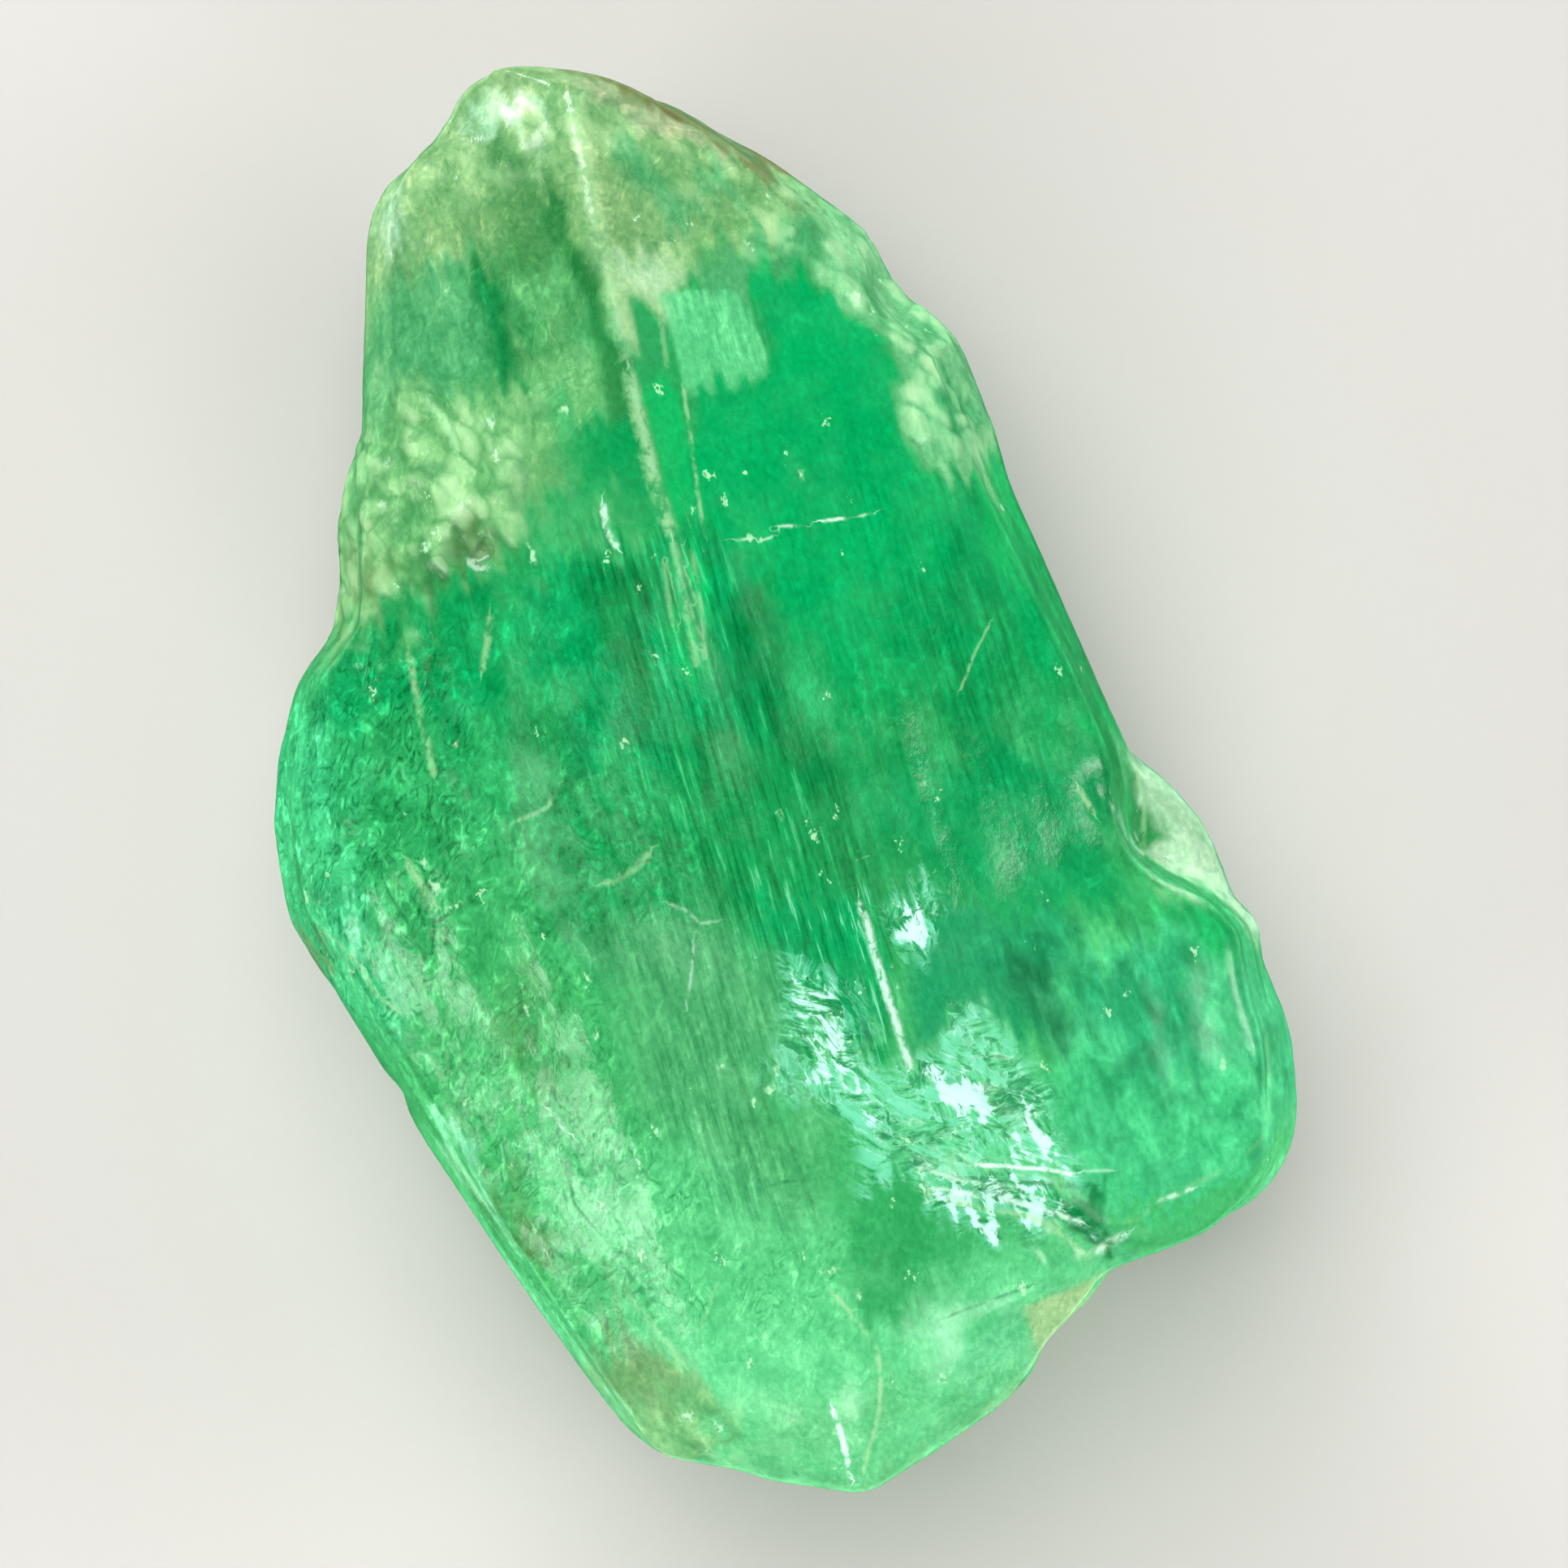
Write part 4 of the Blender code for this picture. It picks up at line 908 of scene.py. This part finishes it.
# Rough emerald, a beryl, with the faces it grew and fresh breaks. It is see-through in the heart and milky at
# the rims, so its colour lies in the body: light goes in, scatters on cracks and comes out green. Etching has
# dulled the glassy faces, and where they are worn at the sides they are nearly matt.
def roughEmerald():
    material, tree = newMaterial("roughEmerald")
    coordinates = addNode(tree, "ShaderNodeTexCoord").outputs["Object"]
    place = addNode(tree, "ShaderNodeMapping", {"Vector": coordinates, "Scale": (perMetre,) * 3})
    flow = addNode(tree, "ShaderNodeAttribute", attribute_name="flow").outputs["Vector"]
    here = {}
    for name in (*textureFields, *surfaceFields):
        here[name] = addNode(tree, "ShaderNodeAttribute", attribute_name=name).outputs["Fac"]
    colouring = ("grain", "mottle", "curds", "reflectionStreaks", "fibres", "etched")
    fine = {name: pattern(tree, name, place) for name in (*colouring, "curls")}

    colour = addNode(tree, "ShaderNodeAttribute", attribute_name="tone")
    for name in colouring:
        look = finePatterns[name]
        for amount, start, end in (look["light"], look["dark"]):
            colour = depthAndShadeTint(tree, colour, amount, (fine[name], start, end), here[look["where"]])

    # Hair-fine curls, broken into short pieces: painted shade on one side and a painted highlight on the
    # other, for the relief of their lips
    curled = addNode(tree, "ShaderNodeMath", {0: here["mottle"], 1: 0.5}, operation="MULTIPLY")
    curled = addNode(tree, "ShaderNodeMath", {0: here["etched"], 1: curled}, operation="MAXIMUM")
    for level, amount in curlShadeAndHighlight:
        away = addNode(tree, "ShaderNodeMath", {0: fine["curls"], 1: level}, operation="SUBTRACT")
        away = addNode(tree, "ShaderNodeMath", {0: away}, operation="ABSOLUTE")
        colour = depthAndShadeTint(tree, colour, amount, (away, 0.030, 0.004), (fine["curds"], 0.44, 0.60), curled)

    # Cloudy ground: pale rounded lumps with green between them. Their pale tops are milky colour and a
    # painted highlight, and the darkening between them is painted shade in the creases
    lumpAway, paleness = lumpCells(tree, place)
    colour = depthAndShadeTint(tree, colour, 0.72, (lumpAway, 0.35, 0.75), here["cloudy"])
    colour = toned(tree, colour, "lumpMilkAndHighlight", (lumpAway, 0.80, 0.05), (paleness, 0.1, 0.9, 0.3, 1.0),
                   (fine["mottle"], 0.3, 0.6, 0.5, 1.0), here["cloudy"], 0.75)

    # The fracture: flakes along its bend, each with its own brightness, splintered and with white hearts.
    # Their mint white is partly the cracks' own colour and partly a painted reflection off them, brighter or
    # darker flake by flake
    flakes = flakePlace(tree, place, flow)
    chance = cells(tree, flakes)[1]
    splinters = pattern(tree, "splinters", flow)
    for name, upTo in splinterTurns:
        turned = addNode(tree, "ShaderNodeMath", {0: chance, 1: upTo}, operation="LESS_THAN")
        splinters = addNode(tree, "ShaderNodeMix", {0: turned, 2: splinters, 3: pattern(tree, name, flow)})
    stepped = addNode(tree, "ShaderNodeMath", {0: chance, 1: flareShine["flakeSteps"]}, operation="MULTIPLY")
    stepped = addNode(tree, "ShaderNodeMath", {0: stepped, 1: 1.0}, operation="PINGPONG")
    shine = flareShine["base"]
    for name, part in (("flake", stepped), ("splinters", splinters), ("curds", fine["curds"])):
        shine = addNode(tree, "ShaderNodeMath", {
            0: part, 1: flareShine[name], 2: shine,
        }, operation="MULTIPLY_ADD")
    colour = toned(tree, colour, "splinter", (shine, 0.76, 1.10), here["flare"], 0.95)
    colour = toned(tree, colour, "splinterShade", (shine, 0.88, 0.62), here["flare"], 0.75)
    edge = addNode(tree, "ShaderNodeTexVoronoi", {"Vector": flakes, "Scale": 1.0}, feature="DISTANCE_TO_EDGE")
    colour = toned(tree, colour, "crack", (edge, 0.07, 0.01), (splinters, 0.44, 0.60), here["flare"], 0.70)
    hearts = addNode(tree, "ShaderNodeMath", {0: shine, 1: here["veil"]}, operation="ADD")
    hearts = sharePart(tree, (hearts, 1.44, 1.82))
    colour = toned(tree, colour, "heart", hearts, 0.9)
    colour = toned(tree, colour, "needle", (fine["fibres"], 0.60, 0.68), here["needles"], 0.6)

    # Single marks, with uneven edges and gaps; some of the white ones are painted glints
    broken = addNode(tree, "ShaderNodeMath", {0: fine["curds"], 1: 0.6}, operation="MULTIPLY")
    broken = addNode(tree, "ShaderNodeMath", {0: fine["mottle"], 1: 0.4, 2: broken}, operation="MULTIPLY_ADD")
    for name in ("dark", "pale", "white"):
        side = addNode(tree, "ShaderNodeAttribute", attribute_name=name + "Side").outputs["Fac"]
        strength = addNode(tree, "ShaderNodeAttribute", attribute_name=name + "Share").outputs["Fac"]
        side = addNode(tree, "ShaderNodeMath", {0: fine["grain"], 1: 1.2, 2: side}, operation="MULTIPLY_ADD")
        side = addNode(tree, "ShaderNodeMath", {0: side, 1: 0.6}, operation="SUBTRACT")
        side = addNode(tree, "ShaderNodeMath", {0: side}, operation="ABSOLUTE")
        mark = sharePart(tree, (side, 1.4, 0.0), strength, (broken, 0.40, 0.54, 0.08, 1.0))
        colour = toned(tree, colour, name, mark)

    # Bright inclusions and painted glints, tiny ones by chance and larger ones in their places
    away, chance = cells(tree, bentCells(tree, "sparkle", place, fine["grain"]))
    away = addNode(tree, "ShaderNodeMath", {0: fine["grain"], 1: -0.30, 2: away}, operation="MULTIPLY_ADD")
    chosen = addNode(tree, "ShaderNodeMath", {0: chance, 1: here["sparkle"]}, operation="LESS_THAN")
    tiny = sharePart(tree, (away, 0.03, -0.06), chosen)
    large = addNode(tree, "ShaderNodeMath", {
        0: fine["grain"], 1: 3.0, 2: here["fleck"],
    }, operation="MULTIPLY_ADD")
    large = sharePart(tree, (large, 2.50, 3.50))
    specks = addNode(tree, "ShaderNodeMath", {0: tiny, 1: large}, operation="MAXIMUM")
    specks = sharePart(tree, specks, 0.65)
    colour = toned(tree, colour, "speckAndGlint", specks)

    colour = toned(tree, colour, "iron", here["weathered"], (fine["mottle"], 0.30, 0.60, 0.4, 1.0))
    # Painted shade: the upright sides are darkened, as if less light fell on them
    colour = depthAndShadeTint(tree, colour, emeraldLook["paintedSideShade"], (here["rim"], 0.90, 1.0))

    bright = addNode(tree, "ShaderNodeMath", {0: hearts, 1: mark}, operation="MAXIMUM")
    bright = addNode(tree, "ShaderNodeMath", {0: bright, 1: specks}, operation="MAXIMUM")
    clear = addNode(tree, "ShaderNodeMapRange", {
        0: here["cloudy"], 3: emeraldLook["clearShare"], 4: emeraldLook["cloudyShare"],
    })
    clear = sharePart(tree, clear, (bright, 0.1, 0.9, 1.0, 0.4), (here["rim"], 0.2, 1.0, 1.0, 0.35))
    even = sharePart(tree, (fine["mottle"], 0.3, 0.7, 0.14, 0.34))
    rough = addNode(tree, "ShaderNodeMath", {
        0: here["rim"], 1: emeraldLook["rimRoughness"], 2: even,
    }, operation="MULTIPLY_ADD")
    pits = sharePart(tree, fine["grain"], (here["glassy"], 0.0, 1.0, 0.35, 0.05))
    height = addNode(tree, "ShaderNodeMath", {0: fine["mottle"], 1: 0.6, 2: pits}, operation="MULTIPLY_ADD")
    bump = addNode(tree, "ShaderNodeBump", {
        "Strength": 0.5, "Distance": emeraldLook["bumpDepth"], "Height": height,
    })
    surface = addNode(tree, "ShaderNodeBsdfPrincipled", {
        "Base Color": colour,
        "Roughness": rough,
        "IOR": emeraldLook["ior"],
        "Specular IOR Level": emeraldLook["gloss"],
        "Transmission Weight": clear,
        "Normal": bump,
    })
    inside = addNode(tree, "ShaderNodeVolumeAbsorption", {
        "Color": linearHex(emeraldLook["bodyColour"]), "Density": emeraldLook["bodyDensity"],
    })
    addNode(tree, "ShaderNodeOutputMaterial", {"Surface": surface, "Volume": inside})
    return material


studio = {
    "floorSize": 0.6,
    "floorDrop": 0.00003,
    "paper": "#b6b4b0",
    "lightReach": 0.22,
    "sky": 0.26,
}


def makeFloor():
    shape = bmesh.new()
    bmesh.ops.create_grid(shape, x_segments=1, y_segments=1, size=studio["floorSize"] / 2)
    mesh = bpy.data.meshes.new("floor")
    shape.to_mesh(mesh)
    shape.free()
    mesh.transform(Matrix.Translation((0, 0, -studio["floorDrop"])))
    floor = bpy.data.objects.new("floor", mesh)
    bpy.context.scene.collection.objects.link(floor)
    # Uncoated paper: pale and matt, so it takes soft shadows and has hardly a shine
    material, tree = newMaterial("paleBackgroundPaper")
    surface = addNode(tree, "ShaderNodeBsdfPrincipled", {
        "Base Color": linearHex(studio["paper"]), "Roughness": 0.9, "Specular IOR Level": 0.2,
    })
    addNode(tree, "ShaderNodeOutputMaterial", {"Surface": surface})
    mesh.materials.append(material)
    floor.visible_glossy = False  # its mirror image is kept out of the crystal's steep sides
    floor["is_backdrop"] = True


def addSoftLight(name, place, size, power, target=(0, 0, 0.004)):
    light = bpy.data.lights.new(name, "AREA")
    light.shape = "DISK"
    light.size = size
    light.energy = power
    lamp = bpy.data.objects.new(name, light)
    lamp.location = place
    lamp.rotation_euler = (Vector(target) - Vector(place)).to_track_quat("-Z", "Y").to_euler()
    bpy.context.scene.collection.objects.link(lamp)
    return lamp


# Direction in the plan and height above the table in degrees, power in watts, size in metres,
# and whether the lamp shows as a highlight on a shiny face
softLights = {
    "topLight": {"from": 100, "height": 68, "power": 0.48, "size": 0.20, "shines": False},
    "lowBack": {"from": 95, "height": 18, "power": 0.41, "size": 0.12, "shines": True},
    "lowRight": {"from": -15, "height": 14, "power": 0.35, "size": 0.10, "shines": False},
    "lowLeft": {"from": 195, "height": 14, "power": 0.35, "size": 0.10, "shines": False},
    "lowFront": {"from": -95, "height": 18, "power": 0.41, "size": 0.12, "shines": False},
}


def makeLights():
    for name, light in softLights.items():
        turn, rise = math.radians(light["from"]), math.radians(light["height"])
        reach = studio["lightReach"]
        level = reach * math.cos(rise)
        place = (level * math.cos(turn), level * math.sin(turn), reach * math.sin(rise))
        lamp = addSoftLight(name, place, light["size"], light["power"])
        lamp.visible_glossy = light["shines"]
    world = bpy.data.worlds.new("studioAir")
    world.use_nodes = True
    world.node_tree.nodes["Background"].inputs["Color"].default_value = (1, 1, 1, 1)
    world.node_tree.nodes["Background"].inputs["Strength"].default_value = studio["sky"]
    world.cycles_visibility.glossy = False  # a dark room: only the lamps and the table show in the gloss
    bpy.context.scene.world = world


cameraSizes = {
    "lens": 135.0,
    "roll": 16.0,  # degrees that the prism leans to the left in the picture
    "across": 0.02156,  # what the picture takes in, at the crystal's widest outline
    "centre": (0.000667, -0.000403),
    "outlineHeight": 0.0040,
}


def makeCamera():
    data = bpy.data.cameras.new("camera")
    data.lens = cameraSizes["lens"]
    data.sensor_width = 36.0
    data.clip_start, data.clip_end = 0.005, 5.0
    camera = bpy.data.objects.new("camera", data)
    bpy.context.scene.collection.objects.link(camera)
    distance = cameraSizes["across"] * data.lens / data.sensor_width
    x, y = cameraSizes["centre"]
    camera.location = (x, y, cameraSizes["outlineHeight"] + distance)
    camera.rotation_euler = (0, 0, -math.radians(cameraSizes["roll"]))
    bpy.context.scene.camera = camera


crystal = makeCrystal(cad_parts["emerald_crystal"], roughEmerald())
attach(crystal, "root")
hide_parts("emerald_crystal")
print("crystal done")

makeFloor()
makeLights()
makeCamera()
scene = bpy.context.scene
scene.view_settings.view_transform = "Standard"
scene.cycles.use_denoising = True
scene.cycles.use_adaptive_sampling = True
scene.cycles.adaptive_threshold = 0.07
scene.cycles.adaptive_min_samples = 16
scene.cycles.max_bounces = 5
scene.cycles.diffuse_bounces = 2
scene.cycles.glossy_bounces = 2
scene.cycles.transmission_bounces = 5
print("studio done")

lowCorner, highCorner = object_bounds()
